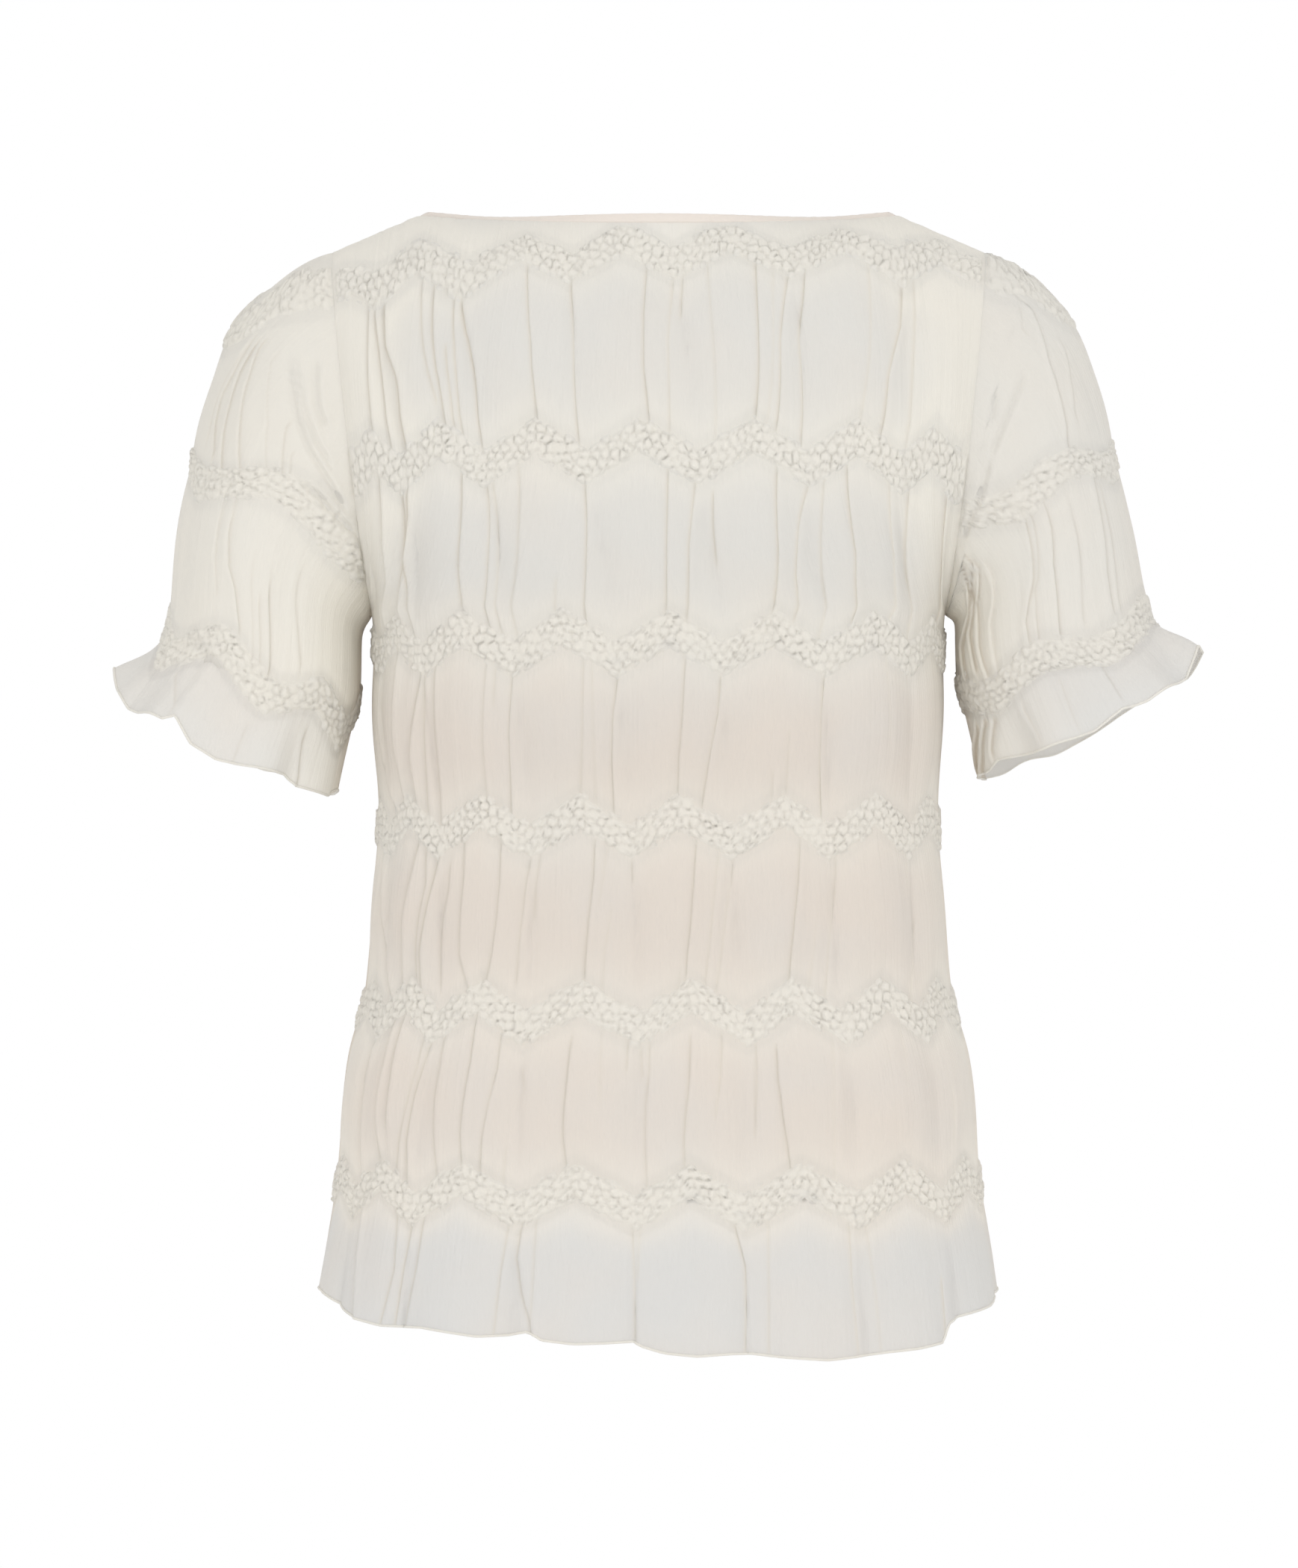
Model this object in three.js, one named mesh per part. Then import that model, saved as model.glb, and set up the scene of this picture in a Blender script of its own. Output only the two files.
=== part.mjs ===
// A short-sleeved top of thin smocked cloth, in the hollow form it has when worn.
// Millimetres, +Z up, back facing -Y, wearer's right at +X.
// The origin is the middle of the neck opening, at the height where the shoulders carry the top.
// Every piece is one wall of cloth. Panels meet at their seams with a small gap.

import * as THREE from 'three';

// ---------- driving sizes ----------

const WALL = 2;
const SEAM_GAP = 0.3;
const SLOPE_STEP = 1e-3;
const FOLDED_BACK = 0.7;

const SHOULDER = { neckX: 128, neckZ: 0, tipX: 174, tipZ: -19.5 };
const ARMHOLE = { topZ: -19.5, bottomZ: -212, topX: 174, bottomX: 153, halfDepth: 60, steps: 12 };
const BINDING = { height: 6, thickness: 2.4, proud: 0.2, steps: 18, leanIn: 0.9, leanUp: 0.44, leanPower: 3 };

const NECK_SHARE = SHOULDER.neckX / SHOULDER.tipX;
const CHEST_Z = (ARMHOLE.topZ + ARMHOLE.bottomZ) / 2;
const ARMHOLE_HALF_HEIGHT = (ARMHOLE.topZ - ARMHOLE.bottomZ) / 2;

// Distances down a panel are measured at its centre line, from the neck edge.
const CHEST_DROP = 104.25;
const UNDERARM_DROP = CHEST_DROP + ARMHOLE_HALF_HEIGHT;
const HEM_DROP = 584.5;
const HEM_SIDE_LIFT = 24;

// How the neck edge bows, and how long the curve from it to the chest pulls at its two ends.
const NECK_BOW_POWER = 2.2;
const UPPER_PULL = { top: 0.38, chest: 0.4 };

// The seams at the sides of a panel stay true while its middle moves, by these powers of across.
const SEAM_POWER = { level: 4, drift: 8, wave: 8, relief: 9, row: 6, hem: 3 };

// Which way a panel faces, where its neck edge lies at the centre, and how steeply it leaves it.
const PANELS = {
  back: { facing: -1, neckDepth: 66, neckDrop: 11.5, neckSlope: 65, phase: 0 },
  front: { facing: 1, neckDepth: 64, neckDrop: 40, neckSlope: 58, phase: 0.11 },
};

// Level sections of the body: half width, and depth from the side seams to the back and to the front.
const SECTIONS = [
  { z: -115.75, halfWidth: 163.5, back: 97, front: 110 },
  { z: -165, halfWidth: 158, back: 99, front: 114 },
  { z: -212, halfWidth: 153, back: 97, front: 113 },
  { z: -262, halfWidth: 152, back: 92, front: 108 },
  { z: -312, halfWidth: 149.5, back: 87, front: 102 },
  { z: -370, halfWidth: 152.5, back: 86, front: 98 },
  { z: -412, halfWidth: 156.5, back: 89, front: 98 },
  { z: -450, halfWidth: 165.5, back: 95, front: 101 },
  { z: -510, halfWidth: 171.5, back: 101, front: 104 },
  { z: -560, halfWidth: 177, back: 107, front: 108 },
  { z: -600, halfWidth: 180, back: 111, front: 111 },
];
const FLATTEN = 0.07;
const EDGE_ANGLE_ROUNDS = 12;

// Bands of smocking on a body panel: how far down, and where one of its dips lies across the panel.
const BANDS = [
  { drop: 17.5, dip: -0.25 },
  { drop: 121.3, dip: -0.2 },
  { drop: 220, dip: -0.11 },
  { drop: 314.5, dip: -0.065 },
  { drop: 410.5, dip: -0.062 },
  { drop: 504.5, dip: -0.069 },
];
const BAND_HALF_HEIGHT = 9;
const BAND_RAISE = 1.5;
const WAVE_HEIGHT = 8;
const WAVE_FADE = 34;
const HEM_CALM = 40;
const CELL = 2 / 7.5;
const COLUMNS_PER_CELL = 4;
const FIRST_COLUMN = -0.08;
const PUFF = 4.5;
const HEM_FLARE = 6;
const HEM_SCALLOP = 4;
const SCALLOP_POWER = 0.6;

// Rows of a body panel from neck edge to hem, at its centre line.
const ROWS = [
  0, 8.5, 26.5, 49, 71, 92, 112.3, 130.3, 147, 163, 179, 195, 211,
  229, 252, 279, 305.5, 323.5, 348, 374, 401.5, 419.5, 442, 469, 495.5, 513.5, 536, 560, HEM_DROP,
];

// Rings of a sleeve past the armhole: its outer and inner points, and its half depth.
const SLEEVE_RINGS = [
  { level: 1, outerX: 256, outerZ: -172, innerX: 159, innerZ: -228, halfDepth: 61 },
  { level: 2, outerX: 261, outerZ: -214, innerX: 160, innerZ: -258, halfDepth: 59 },
  { level: 3, outerX: 270, outerZ: -232, innerX: 165, innerZ: -277, halfDepth: 59 },
  { level: 4, outerX: 290, outerZ: -245, innerX: 172, innerZ: -307, halfDepth: 72 },
];
const SLEEVE_LEVELS = [0, 0.13, 0.26, 0.4, 0.54, 0.68, 0.84, 1, 1.5, 2, 3, 3.5, 4];
const SLEEVE_WAVES = 6;
const TOWARD_BODY = 0.1;
const SLEEVE_PUFF = 2.4;
const CUFF_LEVEL = 2;
const RUFFLE_LEVEL = 3;
const RUFFLE_FLUTE = 4;
const RUFFLE_SAG = 12;
const FLAT_TURN_POWER = 1.2;

// How a sleeve leaves the armhole, and how long its curve pulls at either end; each mixes
// a part that is the same all round with one that is most at the shoulder.
const SLEEVE_LEAVE = { out: 0.6, outAtTop: 0.37, back: 0.04, down: 0.62, upAtTop: 0.38 };
const SLEEVE_PULL = { start: 0.36, end: 0.37, lessAtTop: 0.17 };

// The gathers of the cap band lift the sleeve most at this level, at the shoulder.
const CAP_RISE = { level: 0.32, halfLength: 0.14 };

// The two sleeves hang a little differently: the right one is carried higher and closer to the arm.
const SLEEVES = {
  left: { side: -1, lift: 0, narrow: 0, capRise: 4 },
  right: { side: 1, lift: 8, narrow: 5, capRise: 1.5 },
};

// Deep folds of a sleeve, each a trough from one place on it to another, with its depth and half width.
const SLEEVE_FOLDS = [
  { side: -1, turn: 68, level: 0.62, endTurn: 112, endLevel: 0.5, depth: 5, halfWidth: 9 },
  { side: 1, turn: 88, level: 0.42, endTurn: 122, endLevel: 0.62, depth: 4, halfWidth: 8 },
];
const RING_STEP = 0.1;
const SLEEVE_LENGTH = 180;
const SLEEVE_GIRTH = 350;

const CLOTH = { color: 0xe9e4d8, roughness: 0.85, metalness: 0 };

// ---------- small helpers ----------

const vector = (x, y, z) => new THREE.Vector3(x, y, z);
const mix = THREE.MathUtils.lerp;
const clamp = THREE.MathUtils.clamp;
const radians = THREE.MathUtils.degToRad;

function ease(value) {
  return THREE.MathUtils.smoothstep(value, 0, 1);
}

// A smooth curve through one column of a table that is sorted along another.
function tableValue(table, along, column, place) {
  const last = table.length - 1;
  const rising = table[last][along] > table[0][along];
  let i = 0;
  while (i < last - 1 && (rising ? place > table[i + 1][along] : place < table[i + 1][along])) {
    i += 1;
  }
  const slopeAt = (k) => {
    const before = table[Math.max(k - 1, 0)];
    const after = table[Math.min(k + 1, last)];
    return (after[column] - before[column]) / (after[along] - before[along]);
  };
  const span = table[i + 1][along] - table[i][along];
  const t = clamp((place - table[i][along]) / span, 0, 1);
  const rise = slopeAt(i) * span;
  const fall = slopeAt(i + 1) * span;
  const start = table[i][column];
  const end = table[i + 1][column];
  return start + t * rise + t * t * (3 * (end - start) - 2 * rise - fall)
    + t * t * t * (2 * (start - end) + rise + fall);
}

function bezier(start, startPull, endPull, end, t) {
  const s = 1 - t;
  return start.clone().multiplyScalar(s * s * s)
    .addScaledVector(startPull, 3 * s * s * t)
    .addScaledVector(endPull, 3 * s * t * t)
    .addScaledVector(end, t * t * t);
}

// ---------- armhole ----------

// turn is 0 at the shoulder tip and 180 under the arm; side is +1 on the wearer's right.
function armholePoint(side, facing, turn) {
  const down = (1 - Math.cos(radians(turn))) / 2;
  return vector(
    side * mix(ARMHOLE.topX, ARMHOLE.bottomX, down),
    facing * ARMHOLE.halfDepth * Math.sin(radians(turn)),
    mix(ARMHOLE.topZ, ARMHOLE.bottomZ, down),
  );
}

function armholeTurn(drop) {
  if (drop < CHEST_DROP) {
    return 90 * drop / CHEST_DROP;
  }
  return Math.min(180, 90 + 90 * (drop - CHEST_DROP) / ARMHOLE_HALF_HEIGHT);
}

// ---------- body ----------

// One level section, from its centre to an edge point that lies on it. across runs from -1 to 1.
function sectionPoint(panel, across, depth, edge) {
  const plainAngle = Math.acos(clamp(Math.abs(edge.y) / depth, 0, 1));
  let edgeAngle = plainAngle;
  for (let round = 0; round < EDGE_ANGLE_ROUNDS; round += 1) {
    edgeAngle = plainAngle + FLATTEN * Math.sin(2 * edgeAngle);
  }
  const halfWidth = Math.abs(edge.x) / Math.sin(edgeAngle + FLATTEN * Math.sin(2 * edgeAngle));
  const angle = across * edgeAngle;
  const shift = FLATTEN * Math.sin(2 * angle);
  return vector(
    halfWidth * Math.sin(angle + shift),
    panel.facing * depth * Math.cos(angle - shift),
    edge.z,
  );
}

function topEdge(panel, across) {
  const x = SHOULDER.tipX * across;
  const reach = Math.min(Math.abs(across) / NECK_SHARE, 1);
  if (reach < 1) {
    const bow = 1 - reach ** NECK_BOW_POWER;
    return vector(x, panel.facing * panel.neckDepth * bow, SHOULDER.neckZ - panel.neckDrop * bow);
  }
  const out = (Math.abs(x) - SHOULDER.neckX) / (SHOULDER.tipX - SHOULDER.neckX);
  return vector(x, 0, mix(SHOULDER.neckZ, SHOULDER.tipZ, out));
}

// The way the cloth leaves the neck edge or the shoulder seam.
function topDirection(panel, across) {
  const reach = ease(Math.min(Math.abs(across) / NECK_SHARE, 1));
  const slope = radians(mix(panel.neckSlope, 0, reach));
  return vector(0, panel.facing * Math.cos(slope), -Math.sin(slope));
}

function chestPoint(panel, across, drop) {
  const down = clamp((drop - CHEST_DROP) / ARMHOLE_HALF_HEIGHT, 0, 1);
  const centreZ = CHEST_Z - ARMHOLE_HALF_HEIGHT * down;
  const edge = armholePoint(1, panel.facing, armholeTurn(drop));
  const depth = tableValue(SECTIONS, 'z', panel.facing < 0 ? 'back' : 'front', centreZ);
  const point = sectionPoint(panel, across, depth, edge);
  point.z = mix(centreZ, edge.z, across ** SEAM_POWER.level);
  return point;
}

function lowerPoint(panel, across, drop) {
  const z = ARMHOLE.bottomZ - (drop - UNDERARM_DROP);
  const halfWidth = tableValue(SECTIONS, 'z', 'halfWidth', z);
  const depth = tableValue(SECTIONS, 'z', panel.facing < 0 ? 'back' : 'front', z);
  return sectionPoint(panel, across, depth, vector(halfWidth, 0, z));
}

function upperPoint(panel, across, drop) {
  const t = drop / CHEST_DROP;
  const start = topEdge(panel, across);
  const end = chestPoint(panel, across, CHEST_DROP);
  const length = start.distanceTo(end);
  const startPull = start.clone().addScaledVector(topDirection(panel, across), UPPER_PULL.top * length);
  const endPull = end.clone().addScaledVector(vector(0, 0, 1), UPPER_PULL.chest * length);
  return bezier(start, startPull, endPull, end, t);
}

function smoothBodyPoint(panel, across, drop) {
  if (drop >= UNDERARM_DROP) {
    const point = lowerPoint(panel, across, drop);
    const lastBand = BANDS[BANDS.length - 1].drop;
    const hemShare = clamp((drop - lastBand) / (HEM_DROP - lastBand), 0, 1);
    point.z += HEM_SIDE_LIFT * hemShare * Math.abs(across) ** SEAM_POWER.hem;
    return point;
  }
  if (drop >= CHEST_DROP) {
    return chestPoint(panel, across, drop);
  }
  const point = upperPoint(panel, across, drop);
  const side = Math.sign(across) || 1;
  const seam = armholePoint(side, panel.facing, armholeTurn(drop));
  const drift = seam.sub(upperPoint(panel, side, drop));
  return point.addScaledVector(drift, Math.abs(across) ** SEAM_POWER.drift);
}

// ---------- smocking on the body ----------

function cellPlace(panel, across, dip) {
  const place = (across - dip - panel.phase) / CELL;
  return place - Math.floor(place);
}

// 1 at a dip, -1 at a peak.
function zigzag(place) {
  return 4 * Math.abs(place - 0.5) - 1;
}

function waveShift(panel, across, drop) {
  let shift = 0;
  for (const band of BANDS) {
    const away = Math.abs(drop - band.drop) - BAND_HALF_HEIGHT;
    const share = clamp(1 - away / WAVE_FADE, 0, 1);
    shift += WAVE_HEIGHT * share * zigzag(cellPlace(panel, across, band.dip));
  }
  const neckShare = clamp(drop / BANDS[0].drop, 0, 1);
  const hemShare = clamp((HEM_DROP - drop) / HEM_CALM, 0, 1);
  return shift * neckShare * hemShare * (1 - across ** SEAM_POWER.wave);
}

// Each cell of a panel bulges between its pleats, and each band stands out as a ridge.
function scallop(place) {
  return Math.sin(Math.PI * place) ** SCALLOP_POWER;
}

function bodyRelief(panel, across, drop) {
  const neckShare = clamp(drop / (BANDS[0].drop - BAND_HALF_HEIGHT), 0, 1);
  const fade = neckShare * (1 - Math.abs(across) ** SEAM_POWER.relief);
  const passed = BANDS.filter((band) => band.drop <= drop).length;
  const above = BANDS[Math.max(passed - 1, 0)];
  const below = BANDS[passed];
  const start = above.drop + BAND_HALF_HEIGHT;
  if (!below) {
    const share = clamp((drop - start) / (HEM_DROP - start), 0, 1);
    const flare = HEM_FLARE * share * scallop(cellPlace(panel, across, above.dip));
    return fade * (BAND_RAISE * (1 - share) + flare);
  }
  const share = clamp((drop - start) / (below.drop - BAND_HALF_HEIGHT - start), 0, 1);
  const place = cellPlace(panel, across, mix(above.dip, below.dip, share));
  const ridge = share === 0 || share === 1 ? BAND_RAISE : 0;
  return fade * (ridge + PUFF * Math.sin(Math.PI * share) * scallop(place));
}

// The hem hangs a little lower under each cell than at its pleats.
function hemScallop(panel, across, drop) {
  const lastBand = BANDS[BANDS.length - 1];
  const share = clamp((drop - lastBand.drop) / (HEM_DROP - lastBand.drop), 0, 1);
  return HEM_SCALLOP * share ** 2 * (scallop(cellPlace(panel, across, lastBand.dip)) - 1);
}

// ---------- sleeves ----------

function ringPoint(sleeve, turn, level) {
  const place = clamp(level, 1, 4);
  const outer = vector(
    tableValue(SLEEVE_RINGS, 'level', 'outerX', place), 0,
    tableValue(SLEEVE_RINGS, 'level', 'outerZ', place),
  );
  const inner = vector(
    tableValue(SLEEVE_RINGS, 'level', 'innerX', place), 0,
    tableValue(SLEEVE_RINGS, 'level', 'innerZ', place),
  );
  const halfDepth = tableValue(SLEEVE_RINGS, 'level', 'halfDepth', place);
  const share = (1 + Math.cos(radians(turn))) / 2;
  const point = inner.lerp(outer, share);
  const narrow = sleeve.narrow * share * Math.max(CUFF_LEVEL - place, 0);
  const broadside = Math.abs(Math.sin(radians(turn))) ** FLAT_TURN_POWER;
  const sag = RUFFLE_SAG * Math.max(place - RUFFLE_LEVEL, 0) * broadside;
  return vector(
    sleeve.side * (point.x - narrow),
    -halfDepth * Math.sin(radians(turn)),
    point.z + sleeve.lift - sag,
  );
}

// turn runs from 0 at the shoulder, down the back to 180 under the arm, and up the front to 360.
function smoothSleevePoint(sleeve, turn, level) {
  if (level >= 1) {
    return ringPoint(sleeve, turn, level);
  }
  const facing = turn <= 180 ? -1 : 1;
  const start = armholePoint(sleeve.side, facing, turn <= 180 ? turn : 360 - turn);
  const end = ringPoint(sleeve, turn, 1);
  const length = start.distanceTo(end);
  const round = Math.cos(radians(turn));
  const leave = vector(
    sleeve.side * (SLEEVE_LEAVE.out + SLEEVE_LEAVE.outAtTop * round),
    -SLEEVE_LEAVE.back * Math.sin(radians(turn)),
    SLEEVE_LEAVE.upAtTop * round - SLEEVE_LEAVE.down,
  ).normalize();
  const arrive = ringPoint(sleeve, turn, 1 + RING_STEP).sub(end).normalize();
  const endLength = (SLEEVE_PULL.end - SLEEVE_PULL.lessAtTop * round) * length;
  const startPull = start.clone().addScaledVector(leave, SLEEVE_PULL.start * length);
  const endPull = end.clone().addScaledVector(arrive, -endLength);
  return bezier(start, startPull, endPull, end, level);
}

function foldDepth(sleeve, turn, level) {
  let depth = 0;
  for (const fold of SLEEVE_FOLDS.filter(({ side }) => side === sleeve.side)) {
    const girth = (turn - fold.turn) / 360 * SLEEVE_GIRTH;
    const length = (level - fold.level) * SLEEVE_LENGTH;
    const runGirth = (fold.endTurn - fold.turn) / 360 * SLEEVE_GIRTH;
    const runLength = (fold.endLevel - fold.level) * SLEEVE_LENGTH;
    const run = Math.hypot(runGirth, runLength);
    const along = clamp((girth * runGirth + length * runLength) / run ** 2, 0, 1);
    const away = Math.hypot(girth - along * runGirth, length - along * runLength);
    depth += fold.depth * Math.exp(-((away / fold.halfWidth) ** 2));
  }
  return depth;
}

function sleeveRelief(sleeve, turn, level) {
  const bulge = scallop((turn * SLEEVE_WAVES / 360) % 1);
  if (level >= RUFFLE_LEVEL) {
    const open = level - RUFFLE_LEVEL;
    return BAND_RAISE * (1 - open) + RUFFLE_FLUTE * open * (bulge - 0.5);
  }
  const fullness = Math.sin(Math.PI * clamp(level / CUFF_LEVEL, 0, 1));
  const awayFromBody = ease((1 + Math.cos(radians(turn))) / 2 + TOWARD_BODY);
  const ridge = level >= CUFF_LEVEL ? BAND_RAISE : 0;
  const fromCap = (level - CAP_RISE.level) / CAP_RISE.halfLength;
  const cap = sleeve.capRise * Math.exp(-(fromCap ** 2));
  const puff = (SLEEVE_PUFF * fullness * bulge + cap) * awayFromBody;
  return puff + ridge - foldDepth(sleeve, turn, level);
}

// ---------- walls ----------

// The vertex of a wall at one place (a, b) of a smooth surface. turned is 1 or -1 to face outward.
function clothVertex(surface, a, b, turned, height) {
  const alongA = surface(a + SLOPE_STEP, b).sub(surface(a - SLOPE_STEP, b));
  const alongB = surface(a, b + SLOPE_STEP).sub(surface(a, b - SLOPE_STEP));
  const normal = alongA.cross(alongB).normalize().multiplyScalar(turned);
  return { point: surface(a, b), normal, height };
}

// Vertices that meet at a seam lean the same way, unless the cloth folds back on itself there.
function shareSeam(...vertices) {
  const shared = vector(0, 0, 0);
  vertices.forEach((vertex) => shared.add(vertex.normal));
  shared.normalize();
  if (vertices.every((vertex) => vertex.normal.dot(shared) > FOLDED_BACK)) {
    vertices.forEach((vertex) => vertex.normal.copy(shared));
  }
}

function pullBack(vertex, neighbour) {
  const inward = neighbour.point.clone().sub(vertex.point).normalize();
  vertex.point.addScaledVector(inward, SEAM_GAP / 2);
}

// Turns a grid into one closed wall. A ring's last column joins its first.
function wallGeometry(grid, isRing) {
  const rowCount = grid.length;
  const columnCount = grid[0].length;
  const positions = [];
  for (const row of grid) {
    for (const { point, normal, height } of row) {
      const outside = point.clone().addScaledVector(normal, height);
      const inside = outside.clone().addScaledVector(normal, -WALL);
      positions.push(...outside.toArray(), ...inside.toArray());
    }
  }
  const outsideAt = (i, j) => 2 * (i * columnCount + (j % columnCount));
  const insideAt = (i, j) => outsideAt(i, j) + 1;
  const indices = [];
  const quad = (a, b, c, d) => indices.push(a, b, c, a, c, d);
  const lastColumn = isRing ? columnCount : columnCount - 1;
  for (let i = 0; i < rowCount - 1; i += 1) {
    for (let j = 0; j < lastColumn; j += 1) {
      quad(outsideAt(i, j), outsideAt(i + 1, j), outsideAt(i + 1, j + 1), outsideAt(i, j + 1));
      quad(insideAt(i, j), insideAt(i, j + 1), insideAt(i + 1, j + 1), insideAt(i + 1, j));
    }
  }
  for (let j = 0; j < lastColumn; j += 1) {
    const end = rowCount - 1;
    quad(outsideAt(0, j), outsideAt(0, j + 1), insideAt(0, j + 1), insideAt(0, j));
    quad(outsideAt(end, j), insideAt(end, j), insideAt(end, j + 1), outsideAt(end, j + 1));
  }
  if (!isRing) {
    for (let i = 0; i < rowCount - 1; i += 1) {
      const end = columnCount - 1;
      quad(outsideAt(i, 0), insideAt(i, 0), insideAt(i + 1, 0), outsideAt(i + 1, 0));
      quad(outsideAt(i, end), outsideAt(i + 1, end), insideAt(i + 1, end), insideAt(i, end));
    }
  }
  return closedGeometry(positions, indices);
}

// Faces are turned so that the wall holds a positive volume, which makes them point out.
function closedGeometry(positions, indices) {
  const corner = (k) => vector(...positions.slice(3 * k, 3 * k + 3));
  let volume = 0;
  for (let i = 0; i < indices.length; i += 3) {
    const [a, b, c] = [indices[i], indices[i + 1], indices[i + 2]].map(corner);
    volume += a.dot(b.cross(c));
  }
  if (volume < 0) {
    for (let i = 0; i < indices.length; i += 3) {
      [indices[i], indices[i + 1]] = [indices[i + 1], indices[i]];
    }
  }
  const geometry = new THREE.BufferGeometry();
  geometry.setAttribute('position', new THREE.Float32BufferAttribute(positions, 3));
  geometry.setIndex(indices);
  geometry.computeVertexNormals();
  return geometry;
}

function clothMesh(name, geometry) {
  const mesh = new THREE.Mesh(geometry, new THREE.MeshStandardMaterial(CLOTH));
  mesh.name = name;
  return mesh;
}

// ---------- panels ----------

function panelColumns(panel) {
  const columns = [-1, 1];
  const step = CELL / COLUMNS_PER_CELL;
  const start = FIRST_COLUMN + panel.phase;
  const most = Math.ceil(2 / step);
  for (let k = -most; k <= most; k += 1) {
    const across = start + k * step;
    if (Math.abs(across) < 1 - step / 2) {
      columns.push(across);
    }
  }
  columns.sort((a, b) => a - b);
  for (const corner of [-NECK_SHARE, NECK_SHARE]) {
    const gaps = columns.map((across) => Math.abs(across - corner));
    columns[gaps.indexOf(Math.min(...gaps))] = corner;
  }
  return columns;
}

// The seam edge keeps to the armhole's own steps, and the middle of a row to its drop.
function rowDrop(panel, across, i) {
  const inner = ROWS[i] + waveShift(panel, across, ROWS[i]) + hemScallop(panel, across, ROWS[i]);
  if (i > ARMHOLE.steps) {
    return inner;
  }
  const share = 2 * i / ARMHOLE.steps;
  const seam = share <= 1 ? CHEST_DROP * share : CHEST_DROP + ARMHOLE_HALF_HEIGHT * (share - 1);
  return mix(inner, seam, Math.abs(across) ** SEAM_POWER.row);
}

function panelGrid(panel) {
  const surface = (across, drop) => smoothBodyPoint(panel, across, drop);
  const columns = panelColumns(panel);
  return ROWS.map((row, i) => columns.map((across) => clothVertex(
    surface, across, rowDrop(panel, across, i), panel.facing, bodyRelief(panel, across, row),
  )));
}

function sleeveGrid(sleeve) {
  const turns = Array.from({ length: 2 * ARMHOLE.steps }, (_, j) => 180 * j / ARMHOLE.steps);
  const surface = (turn, level) => (
    smoothSleevePoint(sleeve, (turn + 360) % 360, Math.max(level, 0))
  );
  return SLEEVE_LEVELS.map((level) => turns.map((turn) => clothVertex(
    surface, turn, level, sleeve.side, sleeveRelief(sleeve, turn, level),
  )));
}

const back = panelGrid(PANELS.back);
const front = panelGrid(PANELS.front);
const sleeveLeft = sleeveGrid(SLEEVES.left);
const sleeveRight = sleeveGrid(SLEEVES.right);

// ---------- seams ----------

function sewArmhole(sleeve, edgeOf, side) {
  const seam = sleeve[0];
  for (let i = 0; i <= ARMHOLE.steps; i += 1) {
    const backVertex = edgeOf(back[i]);
    const frontVertex = edgeOf(front[i]);
    const backSleeve = seam[i];
    const frontSleeve = seam[(seam.length - i) % seam.length];
    if (backSleeve === frontSleeve) {
      shareSeam(backVertex, frontVertex, backSleeve);
    } else {
      shareSeam(backVertex, backSleeve);
      shareSeam(frontVertex, frontSleeve);
    }
    backVertex.point.x -= side * SEAM_GAP / 2;
    frontVertex.point.x -= side * SEAM_GAP / 2;
  }
  seam.forEach((vertex) => {
    vertex.point.x += side * SEAM_GAP / 2;
  });
}

function setBackTop(grid) {
  grid[0].forEach((vertex, j) => pullBack(vertex, grid[1][j]));
}

function setBackSides(grid) {
  for (const row of grid.slice(ARMHOLE.steps)) {
    pullBack(row[0], row[1]);
    pullBack(row[row.length - 1], row[row.length - 2]);
  }
}

sewArmhole(sleeveLeft, (row) => row[0], SLEEVES.left.side);
sewArmhole(sleeveRight, (row) => row[row.length - 1], SLEEVES.right.side);
[back, front].forEach(setBackTop);
[back, front].forEach(setBackSides);

// ---------- neck binding ----------

function bindingPath() {
  const path = [];
  for (const panel of [PANELS.back, PANELS.front]) {
    for (let k = 0; k < BINDING.steps; k += 1) {
      const across = -panel.facing * NECK_SHARE * (2 * k / BINDING.steps - 1);
      const reach = Math.abs(across) / NECK_SHARE;
      const atShoulder = vector(-Math.sign(across) * BINDING.leanIn, 0, BINDING.leanUp);
      const rise = topDirection(panel, across).negate();
      rise.lerp(atShoulder, reach ** BINDING.leanPower).normalize();
      path.push({ foot: topEdge(panel, across), rise });
    }
  }
  return path;
}

// The strip is a ring of four-cornered sections, closed on itself.
function bindingGeometry() {
  const path = bindingPath();
  const { height, proud, thickness } = BINDING;
  const grid = [[], [], [], []];
  path.forEach(({ foot, rise }, k) => {
    const next = path[(k + 1) % path.length].foot;
    const before = path[(k + path.length - 1) % path.length].foot;
    const outward = next.clone().sub(before).cross(rise).normalize();
    const corner = (up, out) => foot.clone().addScaledVector(rise, up).addScaledVector(outward, out);
    grid[0].push(corner(SEAM_GAP / 2, proud));
    grid[1].push(corner(height, proud));
    grid[2].push(corner(height, proud - thickness));
    grid[3].push(corner(SEAM_GAP / 2, proud - thickness));
  });
  const count = path.length;
  const positions = grid.flat().flatMap((point) => point.toArray());
  const indices = [];
  for (let i = 0; i < grid.length; i += 1) {
    for (let j = 0; j < count; j += 1) {
      const row = i * count;
      const nextRow = (i + 1) % grid.length * count;
      const nextColumn = (j + 1) % count;
      indices.push(row + j, row + nextColumn, nextRow + nextColumn);
      indices.push(row + j, nextRow + nextColumn, nextRow + j);
    }
  }
  return closedGeometry(positions, indices);
}

// ---------- the top ----------

const group = new THREE.Group();
group.add(clothMesh('back', wallGeometry(back, false)));
group.add(clothMesh('front', wallGeometry(front, false)));
group.add(clothMesh('sleeve_left', wallGeometry(sleeveLeft, true)));
group.add(clothMesh('sleeve_right', wallGeometry(sleeveRight, true)));
group.add(clothMesh('neck_binding', bindingGeometry()));

export default group;
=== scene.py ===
"""A short-sleeved top of thin smocked cloth, hollow, in the form it has when worn.

Sizes in the making functions are millimetres. They become metres as each piece is finished.
"""
import math

import bmesh
import bpy
import numpy as np
from mathutils import Matrix, Vector


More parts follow.
